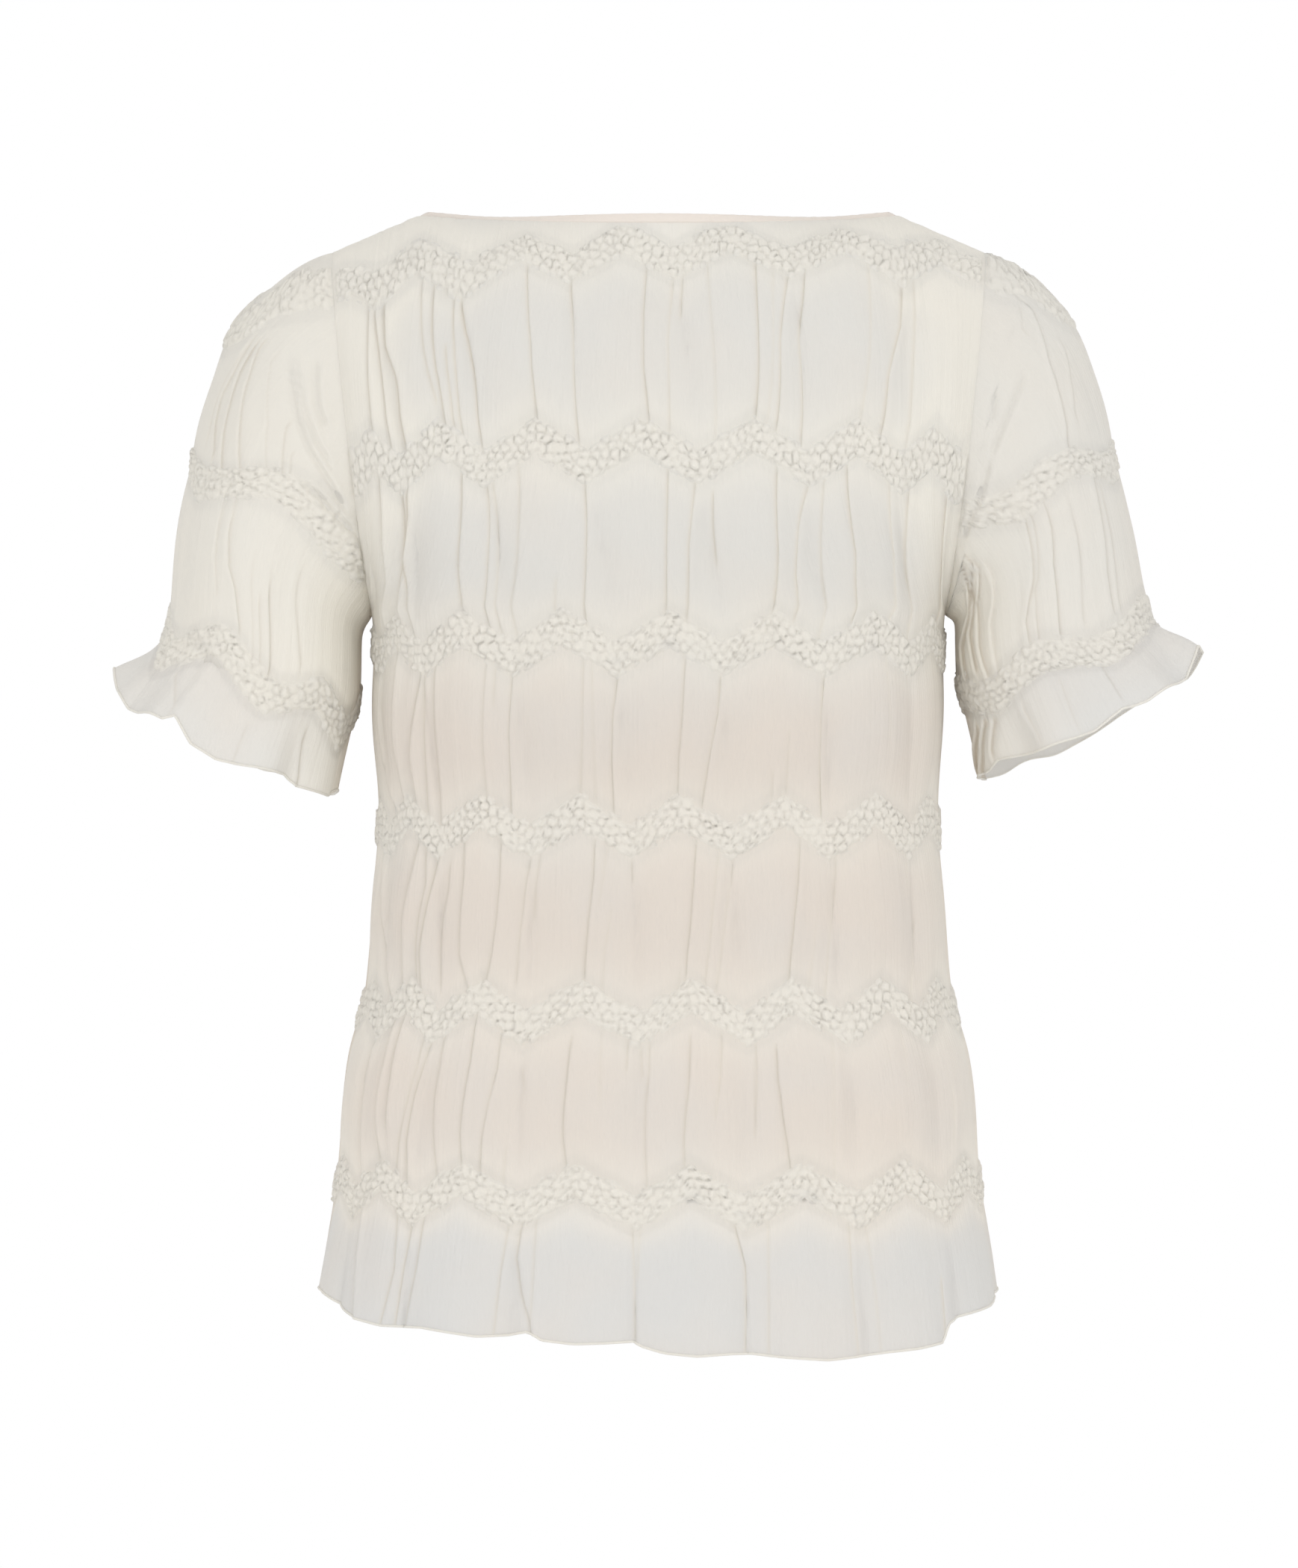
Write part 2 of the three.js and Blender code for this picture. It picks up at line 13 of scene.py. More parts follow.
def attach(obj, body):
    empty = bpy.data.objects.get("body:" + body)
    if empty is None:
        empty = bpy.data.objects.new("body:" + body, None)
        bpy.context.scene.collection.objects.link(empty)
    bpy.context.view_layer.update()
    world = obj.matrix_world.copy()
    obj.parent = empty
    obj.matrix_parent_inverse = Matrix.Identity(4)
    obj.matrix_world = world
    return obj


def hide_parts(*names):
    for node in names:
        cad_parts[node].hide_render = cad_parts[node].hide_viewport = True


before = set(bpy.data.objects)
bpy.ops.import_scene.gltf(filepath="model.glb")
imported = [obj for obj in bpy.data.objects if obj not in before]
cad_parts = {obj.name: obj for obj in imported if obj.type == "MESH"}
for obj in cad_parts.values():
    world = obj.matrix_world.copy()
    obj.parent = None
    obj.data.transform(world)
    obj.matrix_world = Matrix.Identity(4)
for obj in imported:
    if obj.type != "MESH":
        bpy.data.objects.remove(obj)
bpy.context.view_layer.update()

MM = 0.001
chance = np.random.default_rng(41)

# ---------- camera ----------

EYE = (-5.0, -2400.0, -304.0)
VIEW_HEIGHT = 840.0

# ---------- sizes of the top ----------

# Seams, sections, rings and the bands' heights are the same as the CAD's. The thickness, the
# sleeves' puffs, flutes and caps, and the dips and hem lines are this script's own.

SHOULDER_NECK_X, SHOULDER_TIP_X, SHOULDER_TIP_Z = 128.0, 174.0, -19.5
ARM_TOP_X, ARM_TOP_Z, ARM_BOTTOM_X, ARM_BOTTOM_Z, ARM_HALF_DEPTH = 174.0, -19.5, 153.0, -212.0, 60.0
NECK_SHARE = SHOULDER_NECK_X / SHOULDER_TIP_X
CHEST_Z, ARM_HALF_HEIGHT = (ARM_TOP_Z + ARM_BOTTOM_Z) / 2, (ARM_TOP_Z - ARM_BOTTOM_Z) / 2
CHEST_DROP = 104.25
UNDERARM_DROP = CHEST_DROP + ARM_HALF_HEIGHT
HEM_DROP = 584.5
HEM_SIDE_LIFT = 24.0

BACK = {"facing": -1, "neck_depth": 66.0, "neck_drop": 11.5, "neck_slope": 65.0, "depth": 2}
FRONT = {"facing": 1, "neck_depth": 64.0, "neck_drop": 40.0, "neck_slope": 58.0, "depth": 3}

# Level sections of the body: height, half width, depth to the back, depth to the front.
SECTIONS = np.array([
    (-115.75, 163.5, 97, 110), (-165, 158, 99, 114), (-212, 153, 97, 113), (-262, 152, 92, 108),
    (-312, 149.5, 87, 102), (-370, 152.5, 86, 98), (-412, 156.5, 89, 98), (-450, 165.5, 95, 101),
    (-510, 171.5, 101, 104), (-560, 177, 107, 108), (-600, 180, 111, 111),
])
FLATTEN, FLATTEN_STEPS = 0.07, 12
NECK_BOW_POWER = 2.2
# Pulls of the curve from the top edge down to the chest, as shares of its length.
UPPER_PULL = (0.38, 0.4)
# How soon the armhole's heights, and its seam, are left behind on the way to a panel's middle.
CHEST_POWER, SEAM_POWER = 4, 8

BAND_DROPS = (17.5, 121.3, 220.0, 314.5, 410.5, 504.5)
LAST_BAND = len(BAND_DROPS) - 1
BAND_HALF_HEIGHT = 9.0
WAVE_HEIGHT = 8.0
WAVE_FADE, FIRST_FADE, HEM_FADE = 34.0, 20.0, 40.0
FRONT_FIRST_DROP = 17.0
PUFF, HEM_PUFF = 4.5, 6.0
WALL = 0.6
PANEL_HALF_WIDTH = 210.0

# Where the dips of each smocked band of the back lie, as seen from the eye, left to right.
BACK_DIPS = (
    (-150, -98, -46, 8, 68, 126, 172),
    (-138, -92, -38, 21, 79, 130),
    (-126, -78, -22, 34, 88, 135),
    (-117, -68, -15, 38, 92, 134),
    (-118, -71, -10, 46, 98, 140),
    (-130, -75, -12, 46, 106, 152),
)
# Where across the front one dip of each band lies, and the gap from dip to dip. Past the last dip
# of a panel, the gap before it is repeated, up to the most.
FRONT_DIPS = (-0.14, -0.09, 0.0, 0.045, 0.048, 0.041)
DIP_GAP, END_GAP_MOST = 2 / 7.5, 0.27

# The middle of the first band of the back, as seen from the eye: across and height.
FIRST_BAND = np.array([
    (-187, -39), (-168, -35), (-148, -32), (-107, -26), (-50, -20), (0, -18),
    (60, -17), (125, -19), (160, -24), (178, -28), (187, -31),
])

# The hem line of the back: across as seen from the eye, and height.
BACK_HEM = np.array([
    (-177, -571), (-168, -577), (-158, -582), (-146, -584.4), (-125, -584), (-113, -585.5),
    (-96, -587.5), (-80, -586.4), (-70.5, -584.6), (-66, -586), (-62, -588.6), (-45, -590.4),
    (-28, -589.8), (-13.4, -588.9), (-8.5, -591.5), (3, -594.8), (20.5, -596.5), (38, -595.4),
    (49.6, -595.3), (67, -597.5), (90, -599.4), (106, -598.1), (121, -596.5), (137, -595.5),
    (149, -593.5), (153, -584), (160, -581), (173.6, -578), (182.4, -571),
])

# Pleats of the back, one list for each space below a band: the share of the space where a
# pleat starts and ends, its strength, and its places as seen from the eye, top to bottom.
BACK_PLEATS = (
    ((0, 1, .5, (-153, -152)), (0, 1, .6, (-149, -143)), (0, 1, 1, (-143, -143, -138, -135)),
     (0, .9, .35, (-122, -118)), (0, 1, .6, (-115, -113)), (.4, 1, .5, (-110, -108)),
     (0, 1, .6, (-103.5, -104)), (0, 1, 1, (-99.5, -99.5, -97, -94)), (0, 1, .9, (-69, -67, -64)),
     (0, 1, .9, (-45.5, -45, -42)), (0, 1, .9, (-6, -7.7, -7.7, -4.4)), (0, 1, .6, (8.3, 5.5, 6.4)),
     (0, .35, .7, (13.3, 12.2)), (0, 1, .35, (26.7, 31)), (0, 1, 1, (52.3, 53.5, 52)),
     (0, 1, 1, (68, 65, 63)), (0, 1, .35, (61, 58)), (0, 1, .9, (76.7, 75, 76.7)),
     (0, 1, .45, (109.6, 107.8)), (0, 1, .9, (126, 126.8, 122, 119)), (0, 1, .4, (133, 133))),
    ((0, 1, .9, (-149, -146, -143, -146)), (0, 1, .9, (-137, -137.5)), (0, 1, .6, (-134, -134, -130)),
     (0, 1, .9, (-105, -105, -103)), (0, 1, .9, (-91, -90, -89.5)), (0, 1, .6, (-88, -85, -83)),
     (0, 1, .5, (-75, -75)), (.7, 1, .5, (-54, -54)), (0, 1, .9, (-38.5, -38)),
     (0, 1, .9, (5.5, 4.5, 4.3)), (0, 1, .9, (20, 16.4, 15.3)), (.1, .6, .8, (29.4, 29.4, 31.4)),
     (0, 1, 1, (64, 63.5, 61)), (0, 1, .9, (80, 75, 73, 72.5)), (0, 1, .55, (89, 86)),
     (0, 1, .9, (101.5, 104, 103)), (0, 1, .6, (124, 125, 123)), (0, 1, .6, (134.6, 133.5)),
     (0, 1, .9, (155, 150, 148.6))),
    ((0, 1, .9, (-149, -149, -146, -139.5)), (0, 1, 1, (-139, -138.6, -135.6)),
     (0, 1, 1, (-127, -129, -130.5, -129)), (0, 1, .6, (-124.7, -123)),
     (0, 1, .6, (-119.4, -118, -116)), (0, 1, .6, (-92, -92.6, -91.7)), (0, .3, .6, (-87, -87)),
     (0, 1, 1, (-78, -79.3, -78.4)), (0, 1, .6, (-39.7, -40, -41.4)), (0, 1, .4, (-35, -33)),
     (0, 1, 1, (-21.5, -24, -24.7, -23.5)), (0, 1, .9, (14.8, 13, 11, 10.6)),
     (0, 1, 1, (33.6, 32, 27, 23.4)), (.75, 1, .6, (61, 61)), (.45, 1, .5, (69.4, 68.6)),
     (0, 1, 1, (89, 87, 86, 87.3)), (0, .6, .3, (122, 122))),
    ((0, 1, .9, (-146, -146, -142)), (0, 1, 1, (-127.5, -130.4, -133.8, -134.9, -137)),
     (0, 1, .6, (-124, -123, -126, -128.4, -130)), (0, 1, 1, (-117, -120, -123, -126, -127)),
     (.1, .9, .6, (-110.5, -111, -114.4, -115.8, -115.4)),
     (0, 1, .8, (-103.7, -103, -104.5, -105.4, -102)), (0, 1, .9, (-84, -84, -85.4, -88.3, -92.6)),
     (0, .9, .8, (-67.9, -70.4, -72, -74.2, -75.5)), (0, .5, .6, (-62.7, -65, -65.6)),
     (0, 1, .9, (-33.8, -34.3, -36.7, -38.4, -39.7)), (0, .4, .4, (-27, -28.6, -31)),
     (.4, 1, .4, (-24, -28, -30)), (0, .2, .6, (-14, -13.5)),
     (0, 1, 1, (20.8, 19, 17.4, 15.7, 14.8)), (0, 1, .6, (32.7, 30, 27.6, 25)),
     (0, 1, .6, (40.4, 38.7, 36, 33.6, 31)), (.85, 1, .5, (12, 11.5)),
     (0, 1, 1, (76.2, 74.5, 72, 70.8, 70.6)), (0, 1, .6, (95, 94, 91, 89)), (.5, 1, .4, (84, 81)),
     (0, .3, .3, (132.5, 132.5)), (.5, 1, .4, (136.5, 135))),
    ((0, 1, .9, (-149, -155.7, -157.5, -158)), (0, 1, .9, (-141.8, -144.6, -147.7, -148.8, -148.8)),
     (0, .7, .6, (-137, -140.8, -143.6)), (0, 1, 1, (-119.5, -125, -129.7, -133.4, -133.8)),
     (0, 1, .6, (-124, -128, -132.5, -137, -140)), (0, 1, .7, (-113, -115.8, -118.6, -119, -118)),
     (0, 1, 1, (-98.2, -99.5, -102.9, -105, -105.6)), (0, 1, .9, (-83.4, -85.2, -89.9, -93.6, -95.4)),
     (.2, .4, .4, (-72, -71)), (.75, 1, .6, (-80.6, -82.8)),
     (.1, 1, .9, (-46.3, -48.2, -50, -50.4, -49)), (0, .5, .4, (-29.6, -30.6)),
     (0, .25, .8, (-15.7, -16.7)), (0, 1, .6, (-4.3, -4.6, -6.5, -6.9, -5.6)), (0, .3, .5, (-9, -8)),
     (.1, 1, .9, (17.6, 16.7, 14.8, 13.9, 14.5)), (0, .6, .7, (34.3, 33.4, 30.6)),
     (0, .7, .6, (51.9, 52.4, 51.9)), (.1, 1, 1, (63, 63.6, 65.8, 68.6, 71.3)),
     (0, 1, .4, (92.7, 93.6, 94.5)), (0, .4, .3, (130, 131.6)), (.4, .8, .3, (155, 157))),
    ((0, 1, 1, (-158, -159.7, -159)), (0, 1, .6, (-139, -140, -146)),
     (0, 1, .9, (-130.6, -135.5, -139.3)), (0, 1, .9, (-124.8, -128.7, -134.5)),
     (0, 1, .7, (-79.3, -84, -87)), (0, 1, .8, (-72.5, -75.4, -72.5, -66.7)),
     (0, 1, .5, (-64.7, -67.6)), (0, 1, .7, (-13.4, -12.4, -12)), (0, .5, .4, (-9.5, -10.5)),
     (0, 1, 1, (40.9, 46.7, 47.3, 46.7)), (0, 1, .5, (59, 59)), (0, 1, .7, (101.9, 103.5, 106.8)),
     (0, 1, .4, (110.7, 115.5, 118.4)), (.55, 1, .8, (150, 151))),
)

# Rings of a sleeve past the armhole: level, outer x and z, inner x and z, half depth.
SLEEVE_RINGS = np.array([
    (1, 256, -172, 159, -228, 61), (2, 261, -214, 160, -258, 59),
    (3, 270, -232, 165, -277, 59), (4, 290, -245, 172, -307, 72),
], dtype=float)

# The turns round a sleeve where its two lower bands dip: on its back half, and then on its front.
SLEEVE_DIPS = {-1: ((38, 140), (35, 105, 160)), 1: ((30, 98, 168), (70, 140))}
SLEEVE_FRONT_DIPS = (214, 274, 334)
SLEEVE_PUFF = 2.0
CAP_LEVEL, CAP_HALF_LENGTH, CAP_HALF_TURN = 0.36, 0.11, 24
LEAVE_OUT, LEAVE_BACK, LEAVE_DOWN = (0.6, 0.37), 0.04, (0.62, 0.38)
PULL_START, PULL_END = 0.36, (0.37, 0.17)
RUFFLE_FLUTE = 3.4
SLEEVE_BANDS = (100.0, 189.0)
SLEEVE_GIRTH, SLEEVE_LENGTH = 350.0, 240.0
RUFFLE_SAG = 12.0
# The way down a sleeve's pattern, as x and z: from the cap band, and along the sleeve to its middle
# band, which lies the given distance from the starting place.
CAP_WAY, CAP_START = (-0.478, -0.879), (190.0, -45.0)
MIDDLE_WAY, MIDDLE_START, MIDDLE_RUN = (0.394, -0.919), (187.0, -27.0), 122.0
# A sleeve's cream shares above and below the cuff, and in its bands at rim and middle, where the bands'
# cream is partly painted light.
LEFT = {"side": -1, "lift": 0.0, "narrow": 0.0, "inner_drop": 6.0, "cap_rise": 4.5,
        "wave": 7.5, "cream_and_painted_light": (0.7, 0.25), "band_cream_and_painted_light": (0.6, 0.9)}
RIGHT = {"side": 1, "lift": 8.0, "narrow": 5.0, "inner_drop": 0.0, "cap_rise": 2.5,
         "wave": 5.5, "cream_and_painted_light": (0.5, 0.12), "band_cream_and_painted_light": (0.45, 0.75)}

# The hem line of each sleeve's back half: across as seen from the eye, and height.
SLEEVE_HEMS = {
    -1: np.array([(-292, -250), (-285, -263), (-265, -271), (-259, -268), (-251, -282), (-237, -291),
                  (-219, -295), (-199, -299), (-192, -305), (-178, -310), (-169, -305)], dtype=float),
    1: np.array([(164, -301), (172, -300.6), (179, -296), (183, -291), (207, -286), (234, -276),
                 (249, -264), (262, -261), (284, -247), (289, -231)], dtype=float),
}

# Slanting folds of a sleeve's back half: depth, half width, then places as seen from the eye.
SLEEVE_FOLDS = {
    -1: (
        (2.6, 1.7, (-190, -142), (-182, -150), (-170, -163), (-163, -169)),
        (1.5, 1.5, (-198, -68), (-197, -84), (-193, -108), (-187, -124), (-180, -136), (-168, -155)),
        (1.1, 1.4, (-195, -69), (-193, -83), (-189, -104), (-183, -120), (-175, -134)),
        (1.6, 1.7, (-183, -74), (-183.3, -89), (-182.3, -101), (-178, -113)),
        (1.0, 1.8, (-251, -218), (-244, -231), (-235, -243)),
    ),
    1: (
        (1.3, 1.8, (178, -128), (172, -150), (163, -172)),
        (1.3, 1.6, (196, -78), (193, -92), (184, -113), (178, -128)),
        (1.1, 1.5, (180, -94), (178.3, -109)),
        (1.2, 1.6, (186, -155), (192, -156), (198, -159)),
    ),
}

# Pleats of a sleeve's back half: strength, then places as seen from the eye.
SLEEVE_PLEATS = {
    -1: (
        (.8, (-218.8, -70), (-226.8, -84), (-232.8, -96), (-236.8, -111), (-237.8, -125)),
        (1, (-216.8, -71), (-223.8, -84), (-228.3, -97), (-231.3, -111), (-233.3, -125), (-234, -136)),
        (.9, (-213.8, -71), (-218.3, -85), (-221.3, -97), (-223.3, -111), (-224.3, -126), (-223.8, -143)),
        (.4, (-221.8, -74), (-230.8, -88), (-236.8, -102), (-240.3, -116)),
        (.4, (-207, -78), (-209, -110), (-210, -136)),
        (.6, (-198.8, -113), (-200.8, -125), (-201.3, -138)),
        (.4, (-196.8, -128), (-197.3, -137)),
        (.5, (-235, -165), (-236, -199)),
        (.8, (-229.4, -167.4), (-226, -199.4), (-224.1, -220)),
        (.35, (-218, -195), (-218, -240)),
        (.8, (-208.8, -204), (-208.8, -243)),
        (.5, (-214, -208), (-214, -240)),
        (.35, (-194, -200), (-192, -240)),
        (.5, (-259, -246), (-259, -266)),
        (.5, (-190, -284), (-191, -303)),
        (.3, (-222, -276), (-228, -292)),
    ),
    1: (
        (1, (200, -50), (205, -64.6), (208.3, -78.3), (213.5, -95.4), (217.8, -112.6), (218.6, -122)),
        (.5, (217, -71.4), (220.3, -88.6), (222, -105.7)),
        (.35, (193, -44), (194.6, -61)),
        (1, (232.3, -138.3), (236.6, -164), (239.3, -190.4), (242.6, -208)),
        (.7, (239, -160), (243.7, -188), (246, -206)),
        (1, (196.8, -164), (197, -217), (198.5, -226)),
        (.7, (200.7, -164), (201.5, -200), (204, -228)),
        (.9, (210, -164), (211.3, -186), (214, -208), (215.5, -226)),
        (.4, (224, -170), (227, -214)),
        (1, (163.3, -190), (162.5, -230), (164.4, -245)),
        (1, (168, -186), (167, -200), (166.6, -223.5), (170, -241)),
        (.8, (172, -188), (170.5, -208), (172, -230), (176, -244)),
        (.4, (178, -190), (178, -219), (181, -239)),
        (1, (171, -277), (169, -299)),
        (1, (175.5, -276), (174, -298)),
        (.8, (180, -275), (179.5, -293)),
        (.4, (196, -270), (204, -286)),
        (.4, (216, -256), (222, -276)),
        (.4, (238, -244), (246, -264)),
    ),
}


# ---------- small helpers ----------

def mix(a, b, t):
    return a + (b - a) * t


def ease(value):
    t = np.clip(value, 0, 1)
    return t * t * (3 - 2 * t)


def unit(vectors):
    return vectors / np.maximum(np.linalg.norm(vectors, axis=-1, keepdims=True), 1e-9)


def points(x, y, z):
    return np.stack(np.broadcast_arrays(x, y, z), axis=-1).astype(float)


def curve_through(places, values, at):
    """A smooth curve through values at places, which rise."""
    places, values = np.asarray(places, float), np.asarray(values, float)
    last = len(places) - 1
    i = np.clip(np.searchsorted(places, at, side="right") - 1, 0, last - 1)
    before, after = np.maximum(np.arange(last + 1) - 1, 0), np.minimum(np.arange(last + 1) + 1, last)
    slopes = (values[after] - values[before]) / (places[after] - places[before])
    span = places[i + 1] - places[i]
    t = np.clip((at - places[i]) / span, 0, 1)
    rise, fall = slopes[i] * span, slopes[i + 1] * span
    start, end = values[i], values[i + 1]
    return (start + t * rise + t * t * (3 * (end - start) - 2 * rise - fall)
            + t ** 3 * (2 * (start - end) + rise + fall))


def section_value(column, z):
    return curve_through(SECTIONS[::-1, 0], SECTIONS[::-1, column], z)


def bezier(start, start_pull, end_pull, end, t):
    s = 1 - t
    return s ** 3 * start + 3 * s * s * t * start_pull + 3 * s * t * t * end_pull + t ** 3 * end


def seen_x(place):
    """How far across a place looks from the eye, on the plane through the shoulders."""
    return EYE[0] + (place[..., 0] - EYE[0]) * -EYE[1] / (place[..., 1] - EYE[1])


def seen_z(place):
    return EYE[2] + (place[..., 2] - EYE[2]) * -EYE[1] / (place[..., 1] - EYE[1])


# ---------- the body's surface ----------

def armhole_point(side, facing, turn):
    angle = np.radians(turn)
    down = (1 - np.cos(angle)) / 2
    return points(side * mix(ARM_TOP_X, ARM_BOTTOM_X, down), facing * ARM_HALF_DEPTH * np.sin(angle),
                  mix(ARM_TOP_Z, ARM_BOTTOM_Z, down))


def armhole_turn(drop):
    lower = 90 + 90 * (drop - CHEST_DROP) / ARM_HALF_HEIGHT
    return np.where(drop < CHEST_DROP, 90 * drop / CHEST_DROP, np.minimum(180, lower))


def section_point(panel, across, depth, edge_x, edge_y, z):
    plain = np.arccos(np.clip(np.abs(edge_y) / depth, 0, 1))
    edge_angle = plain
    for _ in range(FLATTEN_STEPS):
        edge_angle = plain + FLATTEN * np.sin(2 * edge_angle)
    half_width = np.abs(edge_x) / np.sin(edge_angle + FLATTEN * np.sin(2 * edge_angle))
    angle = across * edge_angle
    shift = FLATTEN * np.sin(2 * angle)
    return points(half_width * np.sin(angle + shift), panel["facing"] * depth * np.cos(angle - shift), z)


def top_edge(panel, across):
    x = SHOULDER_TIP_X * across
    reach = np.minimum(np.abs(across) / NECK_SHARE, 1)
    bow = 1 - reach ** NECK_BOW_POWER
    out = np.clip((np.abs(x) - SHOULDER_NECK_X) / (SHOULDER_TIP_X - SHOULDER_NECK_X), 0, 1)
    z = np.where(reach < 1, -panel["neck_drop"] * bow, SHOULDER_TIP_Z * out)
    return points(x, panel["facing"] * panel["neck_depth"] * bow, z)


def top_direction(panel, across):
    reach = ease(np.minimum(np.abs(across) / NECK_SHARE, 1))
    slope = np.radians(mix(panel["neck_slope"], 0, reach))
    return points(0 * slope, panel["facing"] * np.cos(slope), -np.sin(slope))


def chest_point(panel, across, drop):
    down = np.clip((drop - CHEST_DROP) / ARM_HALF_HEIGHT, 0, 1)
    centre_z = CHEST_Z - ARM_HALF_HEIGHT * down
    edge = armhole_point(1, panel["facing"], armhole_turn(drop))
    depth = section_value(panel["depth"], centre_z)
    place = section_point(panel, across, depth, edge[..., 0], edge[..., 1], centre_z)
    place[..., 2] = mix(centre_z, edge[..., 2], across ** CHEST_POWER)
    return place


def lower_point(panel, across, drop):
    z = ARM_BOTTOM_Z - (drop - UNDERARM_DROP)
    return section_point(panel, across, section_value(panel["depth"], z), section_value(1, z), 0, z)


def upper_point(panel, across, drop):
    t = (drop / CHEST_DROP)[..., None]
    start = top_edge(panel, across)
    end = chest_point(panel, across, np.full_like(drop, CHEST_DROP))
    length = np.linalg.norm(end - start, axis=-1, keepdims=True)
    start_pull = start + top_direction(panel, across) * UPPER_PULL[0] * length
    end_pull = end + np.array((0, 0, 1)) * UPPER_PULL[1] * length
    return bezier(start, start_pull, end_pull, end, t)


def body_point(panel, across, drop):
    across, drop = (np.array(a, float) for a in np.broadcast_arrays(across, drop))
    side = np.where(across < 0, -1.0, 1.0)
    high = np.minimum(drop, CHEST_DROP)
    upper = upper_point(panel, across, high)
    seam = armhole_point(side, panel["facing"], armhole_turn(high))
    upper += (seam - upper_point(panel, side, high)) * (np.abs(across) ** SEAM_POWER)[..., None]
    chest = chest_point(panel, across, np.clip(drop, CHEST_DROP, UNDERARM_DROP))
    lower = lower_point(panel, across, np.maximum(drop, UNDERARM_DROP))
    place = np.where((drop < CHEST_DROP)[..., None], upper, chest)
    return np.where((drop >= UNDERARM_DROP)[..., None], lower, place)


# ---------- the sleeves' surface ----------

def ring_point(sleeve, turn, level):
    level = np.clip(level, 1, 4)
    value = lambda column: curve_through(SLEEVE_RINGS[:, 0], SLEEVE_RINGS[:, column], level)
    angle = np.radians(turn)
    share = (1 + np.cos(angle)) / 2
    narrow = sleeve["narrow"] * share * np.maximum(2 - level, 0)
    sag = RUFFLE_SAG * np.maximum(level - 3, 0) * np.abs(np.sin(angle)) ** 1.2
    return points(sleeve["side"] * (mix(value(3), value(1), share) - narrow), -value(5) * np.sin(angle),
                  mix(value(4), value(2), share) + sleeve["lift"] - sag)


def sleeve_point(sleeve, turn, level):
    turn, level = (np.array(a, float) for a in np.broadcast_arrays(turn, level))
    turn = turn % 360
    facing = np.where(turn <= 180, -1.0, 1.0)
    start = armhole_point(sleeve["side"], facing, np.where(turn <= 180, turn, 360 - turn))
    one = np.ones_like(level)
    end = ring_point(sleeve, turn, one)
    length = np.linalg.norm(end - start, axis=-1, keepdims=True)
    angle = np.radians(turn)
    top = np.cos(angle)
    leave = unit(points(sleeve["side"] * (LEAVE_OUT[0] + LEAVE_OUT[1] * top), -LEAVE_BACK * np.sin(angle),
                        LEAVE_DOWN[1] * top - LEAVE_DOWN[0]))
    arrive = unit(ring_point(sleeve, turn, 1.1 * one) - end)
    end_length = (PULL_END[0] - PULL_END[1] * top)[..., None] * length
    t = np.clip(level, 0, 1)[..., None]
    near = bezier(start, start + leave * PULL_START * length, end - arrive * end_length, end, t)
    return np.where((level >= 1)[..., None], ring_point(sleeve, turn, level), near)


def sleeve_run(sleeve, place):
    """How far down the sleeve's pattern a place lies: 0 at the cap band, as SLEEVE_BANDS at the others."""
    x, z = np.abs(place[..., 0]), place[..., 2] - sleeve["lift"]
    down = MIDDLE_WAY[0] * (x - MIDDLE_START[0]) + MIDDLE_WAY[1] * (z - MIDDLE_START[1]) - MIDDLE_RUN
    down = down - sleeve["inner_drop"] * ease((206 - x) / 36) * ease(-place[..., 1] / 40)
    cap = CAP_WAY[0] * (x - CAP_START[0]) + CAP_WAY[1] * (z - CAP_START[1])
    between = SLEEVE_BANDS[0] * cap / np.maximum(cap - down, 1e-3)
    return np.where(cap < 0, cap, np.where(down > 0, SLEEVE_BANDS[0] + down, between))


def runs_down(sleeve, turns, levels):
    """How far down the pattern the levels of each turn lie, never less than the level before."""
    return np.maximum.accumulate(sleeve_run(sleeve, sleeve_point(sleeve, turns, levels)), axis=1)


# ---------- smocking and pleats ----------

def frame_of(surface, a, b, a_step, b_step, outward):
    """Unit directions along and down a surface, its outward normal, and millimetres per step of a."""
    along = surface(a + a_step, b) - surface(a - a_step, b)
    down = surface(a, b + b_step) - surface(a, b - b_step)
    normal = unit(np.cross(along, down)) * outward
    scale = np.linalg.norm(along, axis=-1) / (2 * a_step)
    return unit(along), unit(down), normal, scale


def across_seen(panel, drop, seen):
    """The across of places that are seen at the given x, at one drop."""
    across = np.linspace(-1, 1, 401)
    return np.interp(seen, seen_x(body_point(panel, across, np.full(401, float(drop)))), across)


def phase_table(panel):
    """For each band, the across of its dips and their numbers."""
    tables = []
    for k, drop in enumerate(BAND_DROPS):
        if panel is BACK:
            dips = across_seen(panel, drop, np.array(BACK_DIPS[k], float))
            numbers = np.arange(len(dips)) - 3.0
        else:
            dips = FRONT_DIPS[k] + DIP_GAP * np.arange(-3, 4)
            numbers = np.arange(-3.0, 4)
        first, last = dips[1] - dips[0], dips[-1] - dips[-2]
        ends = np.arange(1, 5)
        before = (dips[0] - ends * min(first, END_GAP_MOST))[::-1]
        after = dips[-1] + ends * min(last, END_GAP_MOST)
        dips = np.concatenate((before, dips, after))
        numbers = np.concatenate(((numbers[0] - ends)[::-1], numbers, numbers[-1] + ends))
        tables.append((dips, numbers))
    return tables


PHASES = {id(BACK): phase_table(BACK), id(FRONT): phase_table(FRONT)}


def phase(panel, k, across):
    dips, numbers = PHASES[id(panel)][k]
    return np.interp(across, dips, numbers)


def zigzag(place):
    """1 at a dip, -1 at a peak."""
    return 4 * np.abs(place % 1 - 0.5) - 1


def scallop(place):
    return np.sin(np.pi * (place % 1)) ** 0.6


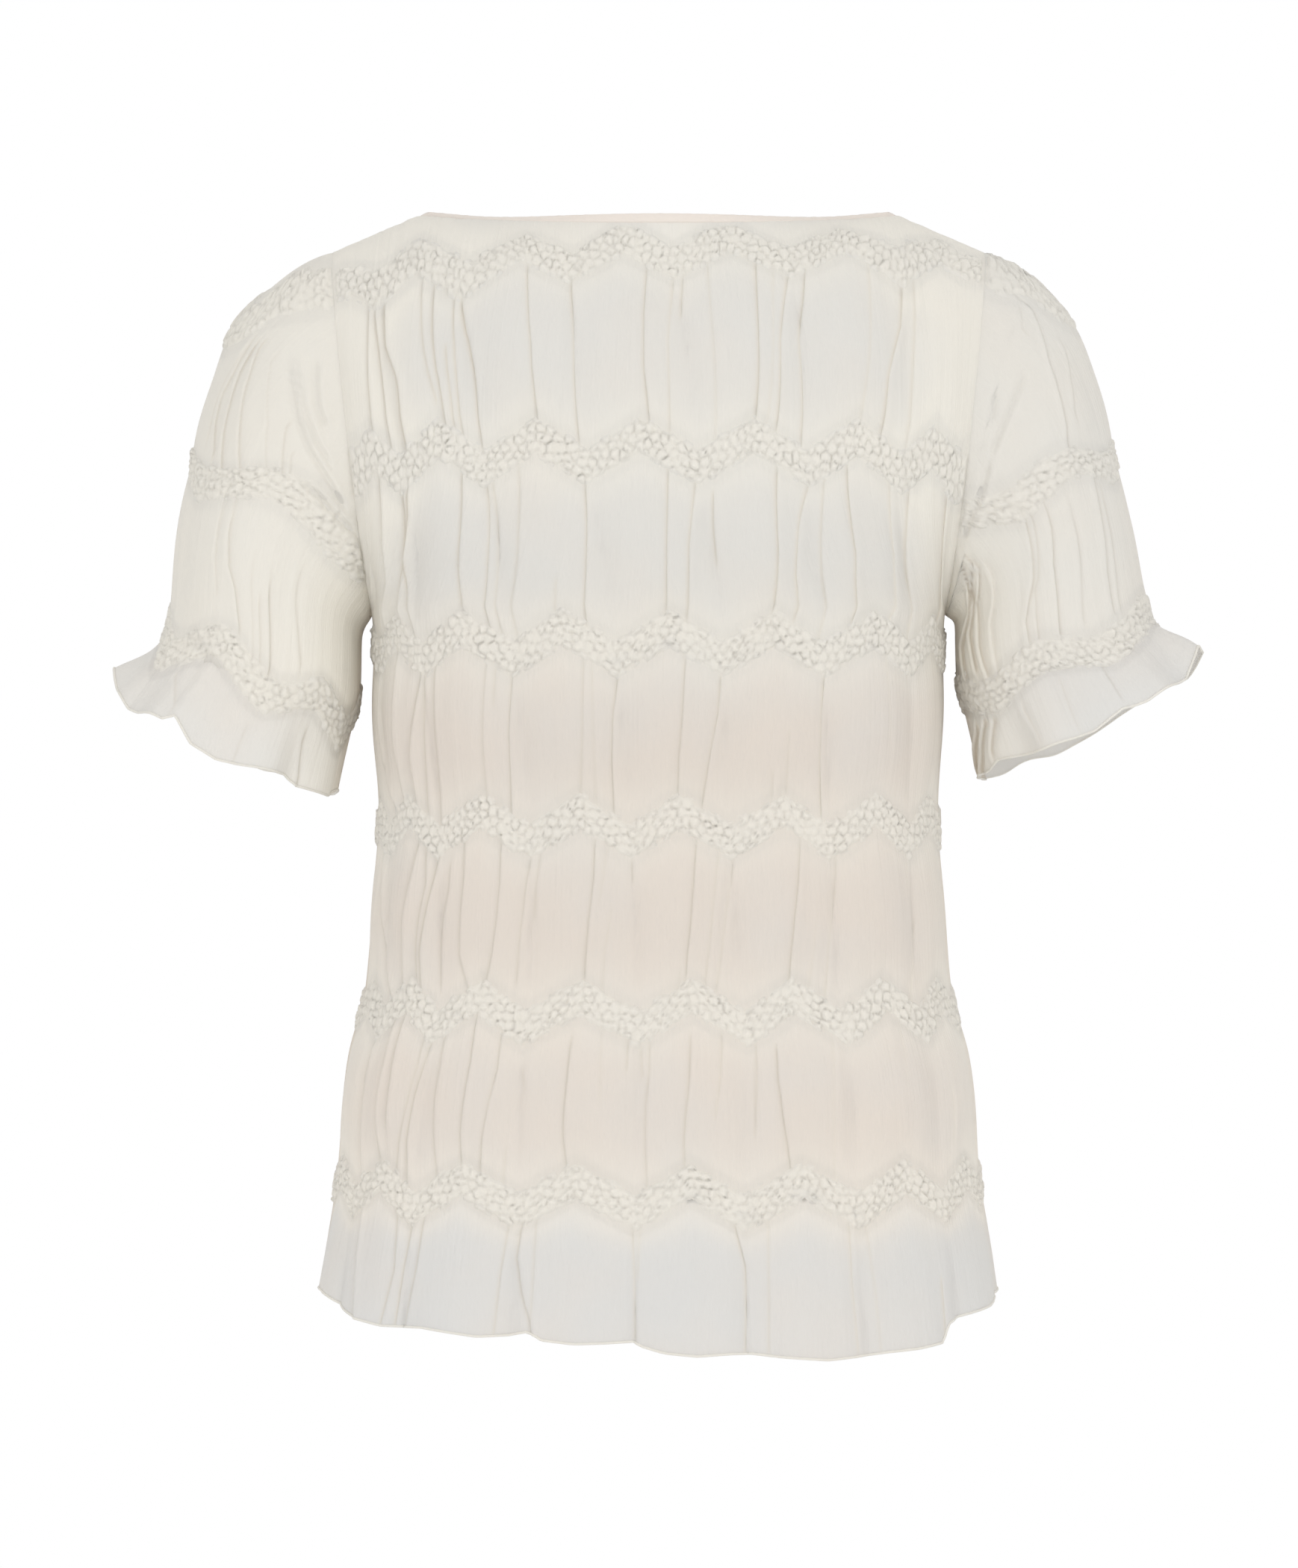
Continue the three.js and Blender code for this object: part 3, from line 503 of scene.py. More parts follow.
def first_band_shift(panel):
    """How much further down than its drop the first band lies, along across."""
    across = np.linspace(-1, 1, 81)
    if panel is FRONT:
        return across, FRONT_FIRST_DROP * ease((np.abs(across) - 0.35) / 0.65)
    drops = np.linspace(2, 90, 177)
    grid_drop, grid_across = np.meshgrid(drops, across)
    place = body_point(panel, grid_across, grid_drop)
    x, z = seen_x(place), seen_z(place)
    aim = np.interp(x, FIRST_BAND[:, 0], FIRST_BAND[:, 1])
    first = np.argmax(z < aim, axis=1)
    shift = drops[first] - BAND_DROPS[0]
    return across, np.convolve(np.pad(shift, 3, mode="edge"), np.ones(7) / 7, mode="valid")


FIRST_SHIFT = {id(BACK): first_band_shift(BACK), id(FRONT): first_band_shift(FRONT)}


def wave_shift(panel, across, drop):
    past = (drop - BAND_DROPS[0] - BAND_HALF_HEIGHT) / (BAND_DROPS[1] - BAND_DROPS[0] - FIRST_FADE)
    fade = np.where(drop < BAND_DROPS[0], drop / BAND_DROPS[0], 1 - past)
    shift = np.interp(across, *FIRST_SHIFT[id(panel)]) * ease(np.clip(fade, 0, 1))
    return shift + zigzag_shift(panel, across, drop)


def zigzag_shift(panel, across, drop):
    shift = 0
    for k, band_drop in enumerate(BAND_DROPS):
        share = np.clip(1 - (np.abs(drop - band_drop) - BAND_HALF_HEIGHT) / WAVE_FADE, 0, 1)
        shift = shift + WAVE_HEIGHT * share * zigzag(phase(panel, k, across))
    neck_share = np.clip(drop / BAND_DROPS[0], 0, 1)
    hem_share = np.clip((HEM_DROP - drop) / HEM_FADE, 0, 1)
    return shift * neck_share * hem_share * (1 - across ** 8)


def gap_share(drop):
    """Which band is above a drop (-1 above the first), and the share of the way to the next."""
    starts = np.array(BAND_DROPS) + BAND_HALF_HEIGHT
    ends = np.append(np.array(BAND_DROPS[1:]) - BAND_HALF_HEIGHT, HEM_DROP)
    k = np.searchsorted(np.array(BAND_DROPS), drop, side="right") - 1
    safe = np.maximum(k, 0)
    return k, np.where(k < 0, 0, (drop - starts[safe]) / (ends[safe] - starts[safe]))


def body_relief(panel, across, drop):
    k, share = gap_share(drop)
    share = np.clip(share, 0, 1)
    relief = np.zeros_like(across)
    for gap in range(len(BAND_DROPS)):
        here = k == gap
        above = phase(panel, gap, across)
        if gap < LAST_BAND:
            place = mix(above, phase(panel, gap + 1, across), share)
            bulge = PUFF * np.sin(np.pi * share) * scallop(place)
        else:
            bulge = HEM_PUFF * share * scallop(above)
        relief = np.where(here, bulge, relief)
    neck_share = np.clip(drop / (BAND_DROPS[0] - BAND_HALF_HEIGHT), 0, 1)
    return relief * neck_share * (1 - np.abs(across) ** 6)


# Ripples in the cloth: how many waves are summed, their radians per millimetre, how deep streaks
# and gathers are, and how far from a band the gathers start to fade and over what.
WAVE_COUNT = 12
WAVES = {"streak": (0.3, 1.0), "gather": (1.1, 1.9)}
GATHER_DEPTH, STREAK_DEPTH, GATHER_FROM, GATHER_FADE = 0.1, 0.12, 8, 12
# A pleat: its half width, how far it laps over and how high it lifts.
PLEAT_WIDE, PLEAT_LAP, PLEAT_LIFT = 1.0, 1.45, 0.75
# The ridge of a pleat and the trough beside it: size, place across the pleat and width.
RIDGE, TROUGH = (0.95, 1.7, 2.3), (0.7, -1.4, 1.9)
# How much closer together columns lie at a pleat: at the least, more by its strength, at the most.
CROWD_LEAST, CROWD_GAIN, CROWD_MOST = 1.6, 1.8, 4.2
# Where pleats are fuller. On the body: the side, by how much, from where across and over what. On the
# sleeves: by how much, and the turns where that starts and ends, each with how long it takes.
BODY_FULLER = ((-1, 1.3, 0.4, 0.3), (1, 0.35, 0.5, 0.3))
SLEEVE_FULLER, FULLER_START, FULLER_END = 1.2, (105, 40), (195, 20)


def ripple(kind, x, z):
    """A smooth random relief, about -1 to 1, over a surface laid out in millimetres."""
    maker = np.random.default_rng(7)
    total = 0
    for _ in range(WAVE_COUNT):
        along, down = maker.uniform(*WAVES[kind]), 0.04 * maker.uniform(-1, 1)
        total = total + np.sin(along * x + down * z + maker.uniform(0, 2 * np.pi))
    return total / math.sqrt(WAVE_COUNT)


def fine_relief(flat_x, flat_y, distances):
    """Streaks all over, and gathers near the bands, from how far a place lies from each band."""
    near = sum(np.exp(-np.maximum(distance - GATHER_FROM, 0) / GATHER_FADE) for distance in distances)
    gathers = near * GATHER_DEPTH * ripple("gather", flat_x, flat_y)
    return gathers + STREAK_DEPTH * ripple("streak", flat_x, flat_y)


def pleat_profile(away, strength):
    """A pleat whose right side laps over its left: sideways shift, lift, and how much painted shade its
    crease gets.
    """
    near = away / (PLEAT_WIDE + 0.3 * strength)
    shift = -PLEAT_LAP * strength ** 0.8 * near * np.exp(-near ** 2)
    ridge, trough = (size * np.exp(-((away - at) / width) ** 2) for size, at, width in (RIDGE, TROUGH))
    # Painted shade of the crease, just left of the lap.
    crease_shade = strength * np.exp(-((away + 0.5) / 1.0) ** 2)
    return shift, PLEAT_LIFT * strength ** 0.7 * (ridge - trough), crease_shade


def front_pleats():
    """Pleats of the front, around the dips of each band."""
    gaps = []
    for k in range(len(BAND_DROPS)):
        dips, _ = PHASES[id(FRONT)][k]
        pleats = []
        for dip in dips[np.abs(dips) < 0.97]:
            below = PHASES[id(FRONT)][min(k + 1, LAST_BAND)][0]
            end = below[np.argmin(np.abs(below - dip))]
            for offset in chance.uniform(-0.045, 0.045, 3):
                strength = chance.uniform(0.3, 1)
                places = (dip + offset, end + offset * 0.8)
                pleats.append((0, chance.choice((0.5, 1, 1)), strength, places))
        gaps.append(pleats)
    return gaps


def pleat_lines(panel):
    """For each space below a band, pleats as (start, end, strength, shares, across)."""
    lines = []
    if panel is FRONT:
        for pleats in front_pleats():
            lines.append([(start, end, strength, np.linspace(start, end, len(places)), np.array(places))
                          for start, end, strength, places in pleats])
        return lines
    for gap, pleats in enumerate(BACK_PLEATS):
        top = BAND_DROPS[gap] + BAND_HALF_HEIGHT
        bottom = BAND_DROPS[gap + 1] - BAND_HALF_HEIGHT if gap < LAST_BAND else HEM_DROP
        rows = []
        for start, end, strength, places in pleats:
            shares = np.linspace(start, end, len(places))
            across = [across_seen(panel, mix(top, bottom, share), x) for share, x in zip(shares, places)]
            rows.append((start, end, strength, shares, np.array(across)))
        lines.append(rows)
    return lines


def envelope(share, start, end):
    """How much of a pleat there is at a share of its space: it fades round its ends."""
    return ease((share - start + 0.03) / 0.09) * (1 - ease((share - end + 0.05) / 0.09))


# ---------- pieces ----------

def close_up(mesh, fill=0):
    """Joins the edges of a rolled-up grid. With fill, it closes holes and turns the faces outward."""
    weld = bmesh.new()
    weld.from_mesh(mesh)
    bmesh.ops.remove_doubles(weld, verts=weld.verts[:], dist=1e-6)
    if fill:
        bmesh.ops.holes_fill(weld, edges=weld.edges[:], sides=fill)
        bmesh.ops.recalc_face_normals(weld, faces=weld.faces[:])
    weld.to_mesh(mesh)
    weld.free()


def mesh_piece(name, bm, places, attributes=None, uv=None):
    """A smooth piece from a bmesh, its vertices moved to their places (millimetres)."""
    mesh = bpy.data.meshes.new(name)
    bm.to_mesh(mesh)
    bm.free()
    mesh.vertices.foreach_set("co", (places * MM).ravel().astype(np.float32))
    if uv is not None:
        loops = np.empty(len(mesh.loops), int)
        mesh.loops.foreach_get("vertex_index", loops)
        mesh.uv_layers.new(name="cloth").data.foreach_set("uv", uv[loops].ravel().astype(np.float32))
    values = {"crease_shade": 0.0, "side": 0.0, "warm": 0.2, "cream_and_painted_light": 0.7}
    values.update(attributes or {})
    for key, value in values.items():
        value = np.broadcast_to(np.asarray(value, np.float32), len(places)).copy()
        mesh.attributes.new(key, "FLOAT", "POINT").data.foreach_set("value", value)
    mesh.update()
    mesh.polygons.foreach_set("use_smooth", np.ones(len(mesh.polygons), bool))
    piece = bpy.data.objects.new(name, mesh)
    bpy.context.scene.collection.objects.link(piece)
    return piece


def give_wall(piece, outward):
    """Turns a piece's faces outward and gives it the thickness of the cloth."""
    mesh = piece.data
    shell = bmesh.new()
    shell.from_mesh(mesh)
    for edge in shell.edges:
        edge.smooth = not edge.is_boundary
    shell.to_mesh(mesh)
    shell.free()
    normals, middles = np.empty(len(mesh.polygons) * 3), np.empty(len(mesh.polygons) * 3)
    mesh.polygons.foreach_get("normal", normals)
    mesh.polygons.foreach_get("center", middles)
    if np.sum(normals.reshape(-1, 3) * outward(middles.reshape(-1, 3) / MM)) < 0:
        mesh.flip_normals()
    wall = piece.modifiers.new("thickness", "SOLIDIFY")
    wall.thickness = WALL * MM
    wall.offset = -1


def grid_mesh(columns, rows):
    """A plain grid, and the column and row of each of its vertices."""
    bm = bmesh.new()
    bmesh.ops.create_grid(bm, x_segments=columns, y_segments=rows, size=1)
    bm.verts.ensure_lookup_table()
    flat = np.array([vertex.co[:2] for vertex in bm.verts])
    column = np.rint((flat[:, 0] + 1) / 2 * columns).astype(int)
    row = np.rint((1 - flat[:, 1]) / 2 * rows).astype(int)
    return bm, column, row


def spread(samples, density, count):
    """Places along samples, closer together where the density is higher."""
    total = np.concatenate(((0,), np.cumsum((density[1:] + density[:-1]) / 2 * np.diff(samples))))
    return np.interp(np.linspace(0, total[-1], count), total, samples)


def pleat_crowd(lines, drop, fine):
    """How close together columns should lie: crowded at the pleats of the space they run down."""
    gap, share = gap_share(np.array(drop))
    gap, share = int(gap), float(share)

    def crowd_of(k, at_share):
        crowd = np.ones_like(fine)
        for _, _, strength, at, places in lines[k]:
            middle = np.interp(at_share, at, places)
            crowd += (CROWD_LEAST + CROWD_GAIN * strength) * np.exp(-((fine - middle) / 0.013) ** 2)
        return np.minimum(crowd, CROWD_MOST)

    if gap < 0:
        return crowd_of(0, 0)
    crowd = crowd_of(gap, share)
    into = (drop - BAND_DROPS[gap]) / BAND_HALF_HEIGHT
    if gap > 0 and into < 1:
        crowd = mix(crowd_of(gap - 1, 1), crowd, ease(into))
    return crowd


# Where the body's tone starts to warm and over what, and the same for the free hem.
WARM_FROM, WARM_OVER, HEM_FROM, HEM_OVER = 170, 110, 505, 25
# Shares of cream: in the plain cloth; near a band, partly the bands' own creamier tone and partly painted
# light over their shaded grooves; in a crease, a warm tint of the painted crease shade; at the sides,
# painted light on the sides that turn from the lamps; and at the most.
BASE_CREAM, BAND_CREAM_AND_PAINTED_LIGHT, CREASE_SHADE_CREAM, SIDE_PAINTED_LIGHT, CREAM_MOST = 0.35, 0.55, 0.5, 0.5, 0.8


def body_warmth(drop):
    """How warm the cloth looks: most over the waist, least at the shoulders and hem."""
    return 0.15 + 0.85 * ease((drop - WARM_FROM) / WARM_OVER) * (1 - ease((drop - HEM_FROM) / 30))


def body_surface(panel):
    return lambda across, drop: body_point(panel, np.clip(across, -1.02, 1.02), drop)


def panel_face(panel, lines, across, drop):
    """The face of a panel, pleats and all: places, outward directions and how much painted shade its creases
    get.
    """
    surface = body_surface(panel)
    laid = np.maximum(drop + wave_shift(panel, across, drop), 0)
    place = surface(across, laid)
    along, _, normal, scale = frame_of(surface, across, np.maximum(laid, 0.6), 1e-3, 0.5, panel["facing"])
    shift, lift, crease_shade = np.zeros_like(across), np.zeros_like(across), np.zeros_like(across)
    below, share = gap_share(drop)
    for gap, pleats in enumerate(lines):
        here = below == gap
        if not here.any():
            continue
        for start, end, strength, at, places in pleats:
            amount = envelope(share[here], start, end)
            away = (across[here] - np.interp(share[here], at, places)) * scale[here]
            one_shift, one_lift, one_crease_shade = pleat_profile(away, np.maximum(strength * amount, 1e-6))
            shift[here] += one_shift
            lift[here] += one_lift
            crease_shade[here] = np.maximum(crease_shade[here], one_crease_shade)
    fuller = 1
    for side, gain, start, over in BODY_FULLER:
        fuller = fuller + gain * ease((side * across - start) / over)
    lift, crease_shade = lift * fuller, crease_shade * fuller
    edge = 1 - np.abs(across) ** 40
    band_distances = [np.abs(drop - middle) for middle in BAND_DROPS]
    fine = fine_relief(across * PANEL_HALF_WIDTH, drop, band_distances)
    relief = body_relief(panel, across, drop) + edge * fine
    hem = surface(across, np.full_like(across, HEM_DROP))
    if panel is BACK:
        hem_z = np.interp(seen_x(hem), BACK_HEM[:, 0], BACK_HEM[:, 1])
    else:
        hem_wave = 4 * (scallop(phase(panel, LAST_BAND, across)) - 1)
        hem_z = hem[..., 2] + HEM_SIDE_LIFT * np.abs(across) ** 3 + hem_wave
    hem_share = np.clip((drop - BAND_DROPS[-1]) / (HEM_DROP - BAND_DROPS[-1]), 0, 1)
    place[..., 2] += (hem_z - hem[..., 2]) * hem_share ** 1.3
    place += along * (shift * edge)[..., None] + normal * (lift * edge + relief)[..., None]
    return place, normal, np.clip(crease_shade, 0, 2)


def panel_tones(panel, across, drop, crease_shade):
    """The tones of a panel's places: painted shade in the creases, tan painted shade at the sides of the
    back, warm, and cream with painted light near the bands and at the sides.
    """
    # Tan painted shade at the sides of the back, more on the left, away from the key light.
    shaded_side = np.clip((np.abs(across) - 0.86) / 0.14, 0, 1) * ease((drop - 190) / 30)
    side = shaded_side * np.where(across < 0, 0.5, 0.25) * (panel is BACK)
    warm = body_warmth(drop)
    # Near a band: cream that is partly the bands' own tone and partly painted light over their shaded
    # grooves.
    near_band = sum(np.exp(-((drop - middle) / 20) ** 2) for middle in BAND_DROPS)
    in_hem = ease((drop - HEM_FROM) / HEM_OVER)
    base = BASE_CREAM * (1 - warm) * (1 - in_hem)
    # Painted light: more of the lighter cream toward the sides, which turn from the lamps.
    sides = SIDE_PAINTED_LIGHT * ease((np.abs(across) - 0.55) / 0.35) * (1 - 0.7 * in_hem)
    cream_and_painted_light = np.clip(base + BAND_CREAM_AND_PAINTED_LIGHT * near_band + CREASE_SHADE_CREAM * crease_shade + sides, 0, CREAM_MOST)
    return {"crease_shade": crease_shade, "side": side, "warm": warm, "cream_and_painted_light": cream_and_painted_light}


def panel_piece(name, panel, lines, columns, rows):
    samples = np.linspace(0, HEM_DROP, 1200)
    density = 1 + sum(0.5 * np.exp(-((samples - drop) / 14) ** 2) for drop in BAND_DROPS)
    row_drops = spread(samples, density, rows + 1)
    fine = np.linspace(-1, 1, 2400)
    across = np.array([spread(fine, pleat_crowd(lines, drop, fine), columns + 1) for drop in row_drops])
    drop = row_drops[:, None] + 0 * across
    place, _, crease_shade = panel_face(panel, lines, across, drop)
    bm, column, row = grid_mesh(columns, rows)
    uv = np.stack(((across + 1) * 0.28, 1 - drop * MM), axis=-1)
    tones = panel_tones(panel, across, drop, crease_shade)
    tones = {key: tone[row, column] for key, tone in tones.items()}
    piece = mesh_piece(name, bm, place[row, column], tones, uv[row, column])
    give_wall(piece, lambda middle: middle * (1, 1, 0))
    return piece, place


SLEEVE_COLUMNS, SLEEVE_ROWS = 226, 112
MIDDLE_SHARE, CUFF_SHARE = 0.44, 0.78


def sleeve_phase(sleeve, band, turn):
    dips = np.array(SLEEVE_DIPS[sleeve["side"]][band] + SLEEVE_FRONT_DIPS, float)
    dips = np.concatenate(((dips[-1] - 360,), dips, (dips[0] + 360,)))
    return np.interp(turn % 360, dips, np.arange(len(dips)))


def sleeve_wave(sleeve, band, turn):
    """How far a band of a sleeve dips below its own middle line."""
    place = sleeve_phase(sleeve, band, turn)
    return sleeve["wave"] * (0.4 * zigzag(place) + 0.6 * np.cos(2 * np.pi * place))


def sleeve_level_table(sleeve):
    """For a fine set of turns, the levels of the middle band and the cuff band."""
    turns, levels = np.linspace(0, 360, 361), np.linspace(0, 4, 801)
    grid_turn, grid_level = np.meshgrid(turns, levels, indexing="ij")
    run = runs_down(sleeve, grid_turn, grid_level)
    middle, cuff = (
        np.array([np.interp(SLEEVE_BANDS[k] + one, run[j], levels)
                  for j, one in enumerate(sleeve_wave(sleeve, k, turns))])
        for k in (0, 1)
    )
    return turns, np.clip(middle, 0.2, 1.2), np.clip(cuff, 1.5, 3.2)


def sleeve_share(table, turn, level):
    """The share of the way from armhole to hem of a place on the sleeve, from its level."""
    turns, middle, cuff = table
    m, c = np.interp(turn % 360, turns, middle), np.interp(turn % 360, turns, cuff)
    upper = MIDDLE_SHARE * level / m
    lower = mix(MIDDLE_SHARE, CUFF_SHARE, (level - m) / (c - m))
    last = mix(CUFF_SHARE, 1, (level - c) / (4 - c))
    return np.where(level < m, upper, np.where(level < c, lower, last))


def sleeve_level(table, turn, share):
    """The level of a place on the sleeve from its turn and its share of the way from armhole to hem."""
    turns, middle, cuff = table
    m, c = np.interp(turn % 360, turns, middle), np.interp(turn % 360, turns, cuff)
    upper = m * share / MIDDLE_SHARE
    lower = mix(m, c, (share - MIDDLE_SHARE) / (CUFF_SHARE - MIDDLE_SHARE))
    last = mix(c, 4, (share - CUFF_SHARE) / (1 - CUFF_SHARE))
    return np.where(share < MIDDLE_SHARE, upper, np.where(share < CUFF_SHARE, lower, last))


def sleeve_lines(sleeve, table):
    """Pleats of a sleeve as (strength, shares, turns)."""
    turn, share = np.meshgrid(np.linspace(0, 180, 361), np.linspace(0, 1, 401), indexing="ij")
    place = sleeve_point(sleeve, turn, sleeve_level(table, turn, share))
    x, z = seen_x(place), seen_z(place)
    lines = []
    for strength, *places in SLEEVE_PLEATS[sleeve["side"]]:
        found = [np.argmin((x - px) ** 2 + (z - pz) ** 2) for px, pz in places]
        found = sorted((share.flat[best], turn.flat[best]) for best in found)
        lines.append((strength, np.array([f[0] for f in found]), np.array([f[1] for f in found])))
    for dip in SLEEVE_FRONT_DIPS[:2]:
        for start, end in ((0.06, 0.41), (0.47, 0.75)):
            for offset in chance.uniform(-12, 12, 3):
                turns = np.array((dip + offset, dip + offset * 0.8))
                lines.append((chance.uniform(0.4, 1), np.array((start, end)), turns))
    return lines


def turn_away(turn, middle):
    return (turn - middle + 180) % 360 - 180


def sleeve_crowd(lines, share, fine):
    """How close together the columns of a sleeve should lie, changing only inside the bands."""
    groups = []
    base = mix(0.4, 1.0, ease((np.sin(np.radians(fine)) + 0.3) / 0.4))
    for low, high in ((0, MIDDLE_SHARE), (MIDDLE_SHARE, CUFF_SHARE), (CUFF_SHARE, 1)):
        crowd = base.copy()
        for strength, at, turns in lines:
            if low <= at.mean() < high:
                middle = np.interp(share, at, turns)
                near = np.exp(-(turn_away(fine, middle) / 2.6) ** 2)
                crowd += (CROWD_LEAST + CROWD_GAIN * strength) * near
        groups.append(np.minimum(crowd, CROWD_MOST))
    crowd = mix(groups[0], groups[1], ease((share - MIDDLE_SHARE + 0.03) / 0.06))
    return mix(crowd, groups[2], ease((share - CUFF_SHARE + 0.03) / 0.06))


def fold_height(place, folds):
    """Troughs with a ridge beside them, along lines that are placed as seen from the eye."""
    x, z = seen_x(place), seen_z(place)
    height = np.zeros_like(x)
    for depth, half_width, *spots in folds:
        spots = np.array(spots, float)
        nearest, sign, fade = np.full_like(x, 1e9), np.ones_like(x), np.ones_like(x)
        lengths = np.linalg.norm(np.diff(spots, axis=0), axis=1)
        for i, length in enumerate(lengths):
            way = (spots[i + 1] - spots[i]) / length
            dx, dz = x - spots[i, 0], z - spots[i, 1]
            at = np.clip(dx * way[0] + dz * way[1], 0, length)
            away = np.hypot(dx - at * way[0], dz - at * way[1])
            closer = away < nearest
            nearest = np.where(closer, away, nearest)
            sign = np.where(closer, np.sign(way[0] * dz - way[1] * dx), sign)
            gone = (lengths[:i].sum() + at) / lengths.sum()
            fade = np.where(closer, ease(gone / 0.2) * ease((1 - gone) / 0.12 + 0.3), fade)
        near = sign * nearest / half_width
        height += depth * fade * (0.5 * np.exp(-((near - 1.7) / 1.2) ** 2) - np.exp(-near ** 2))
    return height * ease(-place[..., 1] / 15)


def sleeve_bulge(sleeve, turn, level, run):
    """Relief of a sleeve apart from its pleats."""
    middle_run, cuff_run = SLEEVE_BANDS
    first, second = (scallop(sleeve_phase(sleeve, band, turn)) for band in (0, 1))
    bulge = np.where(run < middle_run, first, second)
    share = np.where(run < middle_run, run / middle_run, (run - middle_run) / (cuff_run - middle_run))
    fullness = np.sin(np.pi * np.clip(share, 0, 1)) * ease(level / 0.3)
    angle = np.radians(turn)
    away_from_body = ease((1 + np.cos(angle)) / 2 + 0.1)
    open_share = np.clip((level - 2.8) / 1.2, 0, 1)
    flute = 0.6 * np.sin(7 * angle + 0.6) + 0.4 * np.sin(12 * angle + 2.1)
    off_level, off_turn = (level - CAP_LEVEL) / CAP_HALF_LENGTH, turn_away(turn, 0) / CAP_HALF_TURN
    cap = sleeve["cap_rise"] * np.exp(-off_level ** 2 - off_turn ** 2)
    return (SLEEVE_PUFF * fullness * bulge + cap) * away_from_body + RUFFLE_FLUTE * open_share ** 1.3 * flute


def sleeve_face(sleeve, table, lines, turn, share):
    """The face of a sleeve, pleats and all: places, outward directions and how much painted shade its
    creases get.
    """
    level = sleeve_level(table, turn, share)
    surface = lambda a, b: sleeve_point(sleeve, a, b)
    place = surface(turn, level)
    along, down, normal, scale = frame_of(surface, turn, np.maximum(level, 0.01), 0.2, 0.005, sleeve["side"])
    relief = sleeve_bulge(sleeve, turn, level, sleeve_run(sleeve, place))
    relief = relief + fold_height(place, SLEEVE_FOLDS[sleeve["side"]])
    shift, lift, crease_shade = np.zeros_like(turn), np.zeros_like(turn), np.zeros_like(turn)
    for strength, at, middles in lines:
        middle = np.interp(share, at, middles)
        inside = ease((share - at[0]) / 0.04 + 1) * (1 - ease((share - at[-1]) / 0.04))
        away = turn_away(turn, middle) * scale * sleeve["side"]
        one = pleat_profile(away, strength)
        shift += one[0] * inside * sleeve["side"]
        lift += one[1] * inside
        crease_shade = np.maximum(crease_shade, one[2] * inside)
    started = ease((turn % 360 - FULLER_START[0]) / FULLER_START[1])
    fuller = 1 + SLEEVE_FULLER * started * ease((FULLER_END[0] - turn % 360) / FULLER_END[1])
    lift, crease_shade = lift * fuller, crease_shade * fuller
    seam = ease(share / 0.03)
    band_distances = [np.abs(share - at) * SLEEVE_LENGTH for at in (MIDDLE_SHARE, CUFF_SHARE)]
    relief = relief + fine_relief(turn / 360 * SLEEVE_GIRTH, share * SLEEVE_LENGTH, band_distances)
    place += along * (shift * seam)[..., None] + normal * ((lift + relief) * seam)[..., None]
    tuck = 1 - ease(share / 0.008)
    place -= (down * 1.2 + normal * 0.3) * tuck[..., None]
    hems = SLEEVE_HEMS[sleeve["side"]]
    hem = surface(turn, np.full_like(turn, 4))
    plain = hem[..., 2]
    back_half = ease(np.sin(np.radians(turn)) / 0.35)
    aim = np.interp(seen_x(hem), hems[:, 0], hems[:, 1])
    wave = 2.0 * np.sin(np.radians(turn) * 5) + 1.2 * np.sin(np.radians(turn) * 9 + 1)
    move = mix(wave, aim - plain, back_half)
    place[..., 2] += move * ease((share - CUFF_SHARE) / (1 - CUFF_SHARE))
    return place, normal, np.clip(crease_shade, 0, 2)


def sleeve_piece(name, sleeve, table, lines):
    shares = np.linspace(0, 1, SLEEVE_ROWS + 1)
    fine = np.linspace(0, 360, 2881)
    turn = np.array([spread(fine, sleeve_crowd(lines, share, fine), SLEEVE_COLUMNS + 1) for share in shares])
    share = shares[:, None] + 0 * turn
    place, _, crease_shade = sleeve_face(sleeve, table, lines, turn, share)
    bm, column, row = grid_mesh(SLEEVE_COLUMNS, SLEEVE_ROWS)
    uv = np.stack((turn / 360 * 0.4, 1 - share * 0.25), axis=-1)
    # Tan painted shade on the sleeve's underside by the armpit, between sleeve and body.
    inner = 0.35 * ease(1 - np.abs(turn - 184) / 26)
    # Painted light: more of the lighter cream on the sleeve's lower inner side, which turns from the lamps.
    pale = 0.5 * ease(1 - np.abs(turn - 165) / 70)
    cream_and_painted_light = np.clip(mix(*sleeve["cream_and_painted_light"], ease((share - CUFF_SHARE) / 0.1)) + pale, 0, 1)
    tones = {"crease_shade": crease_shade, "side": inner, "cream_and_painted_light": cream_and_painted_light}
    tones = {key: tone[row, column] for key, tone in tones.items()}
    piece = mesh_piece(name, bm, place[row, column], tones, uv[row, column])
    close_up(piece.data)

    def outward(middle):
        axis_x = sleeve["side"] * np.interp(-middle[:, 2], (27, 212, 300), (175, 205, 222))
        return points(middle[:, 0] - axis_x, middle[:, 1], 0 * axis_x)

    give_wall(piece, outward)
    return piece, place


# ---------- smocked bands ----------

# A cell of gathered cloth: its width, height, the groove round it and how high it stands.
CELL_WIDE, CELL_TALL, CELL_GROOVE, CELL_HIGH = 5.0, 4.6, 1.5, 2.0
# A band's strip: half its height, how much deeper than its grooves its rim lies, and how deep its
# inner face and its grooves lie.
BAND_REACH, BAND_SUNK, BAND_UNDER, BAND_BASE = 14.0, 0.3, 0.55, 0.1
# How far across a panel a strip reaches, and its share of cream at its rim and in its middle, partly the
# bands' own creamier tone and partly painted light over the shade of their grooves.
BAND_ACROSS = 0.993
PANEL_BAND_CREAM_AND_PAINTED_LIGHT = (0.45, 0.8)


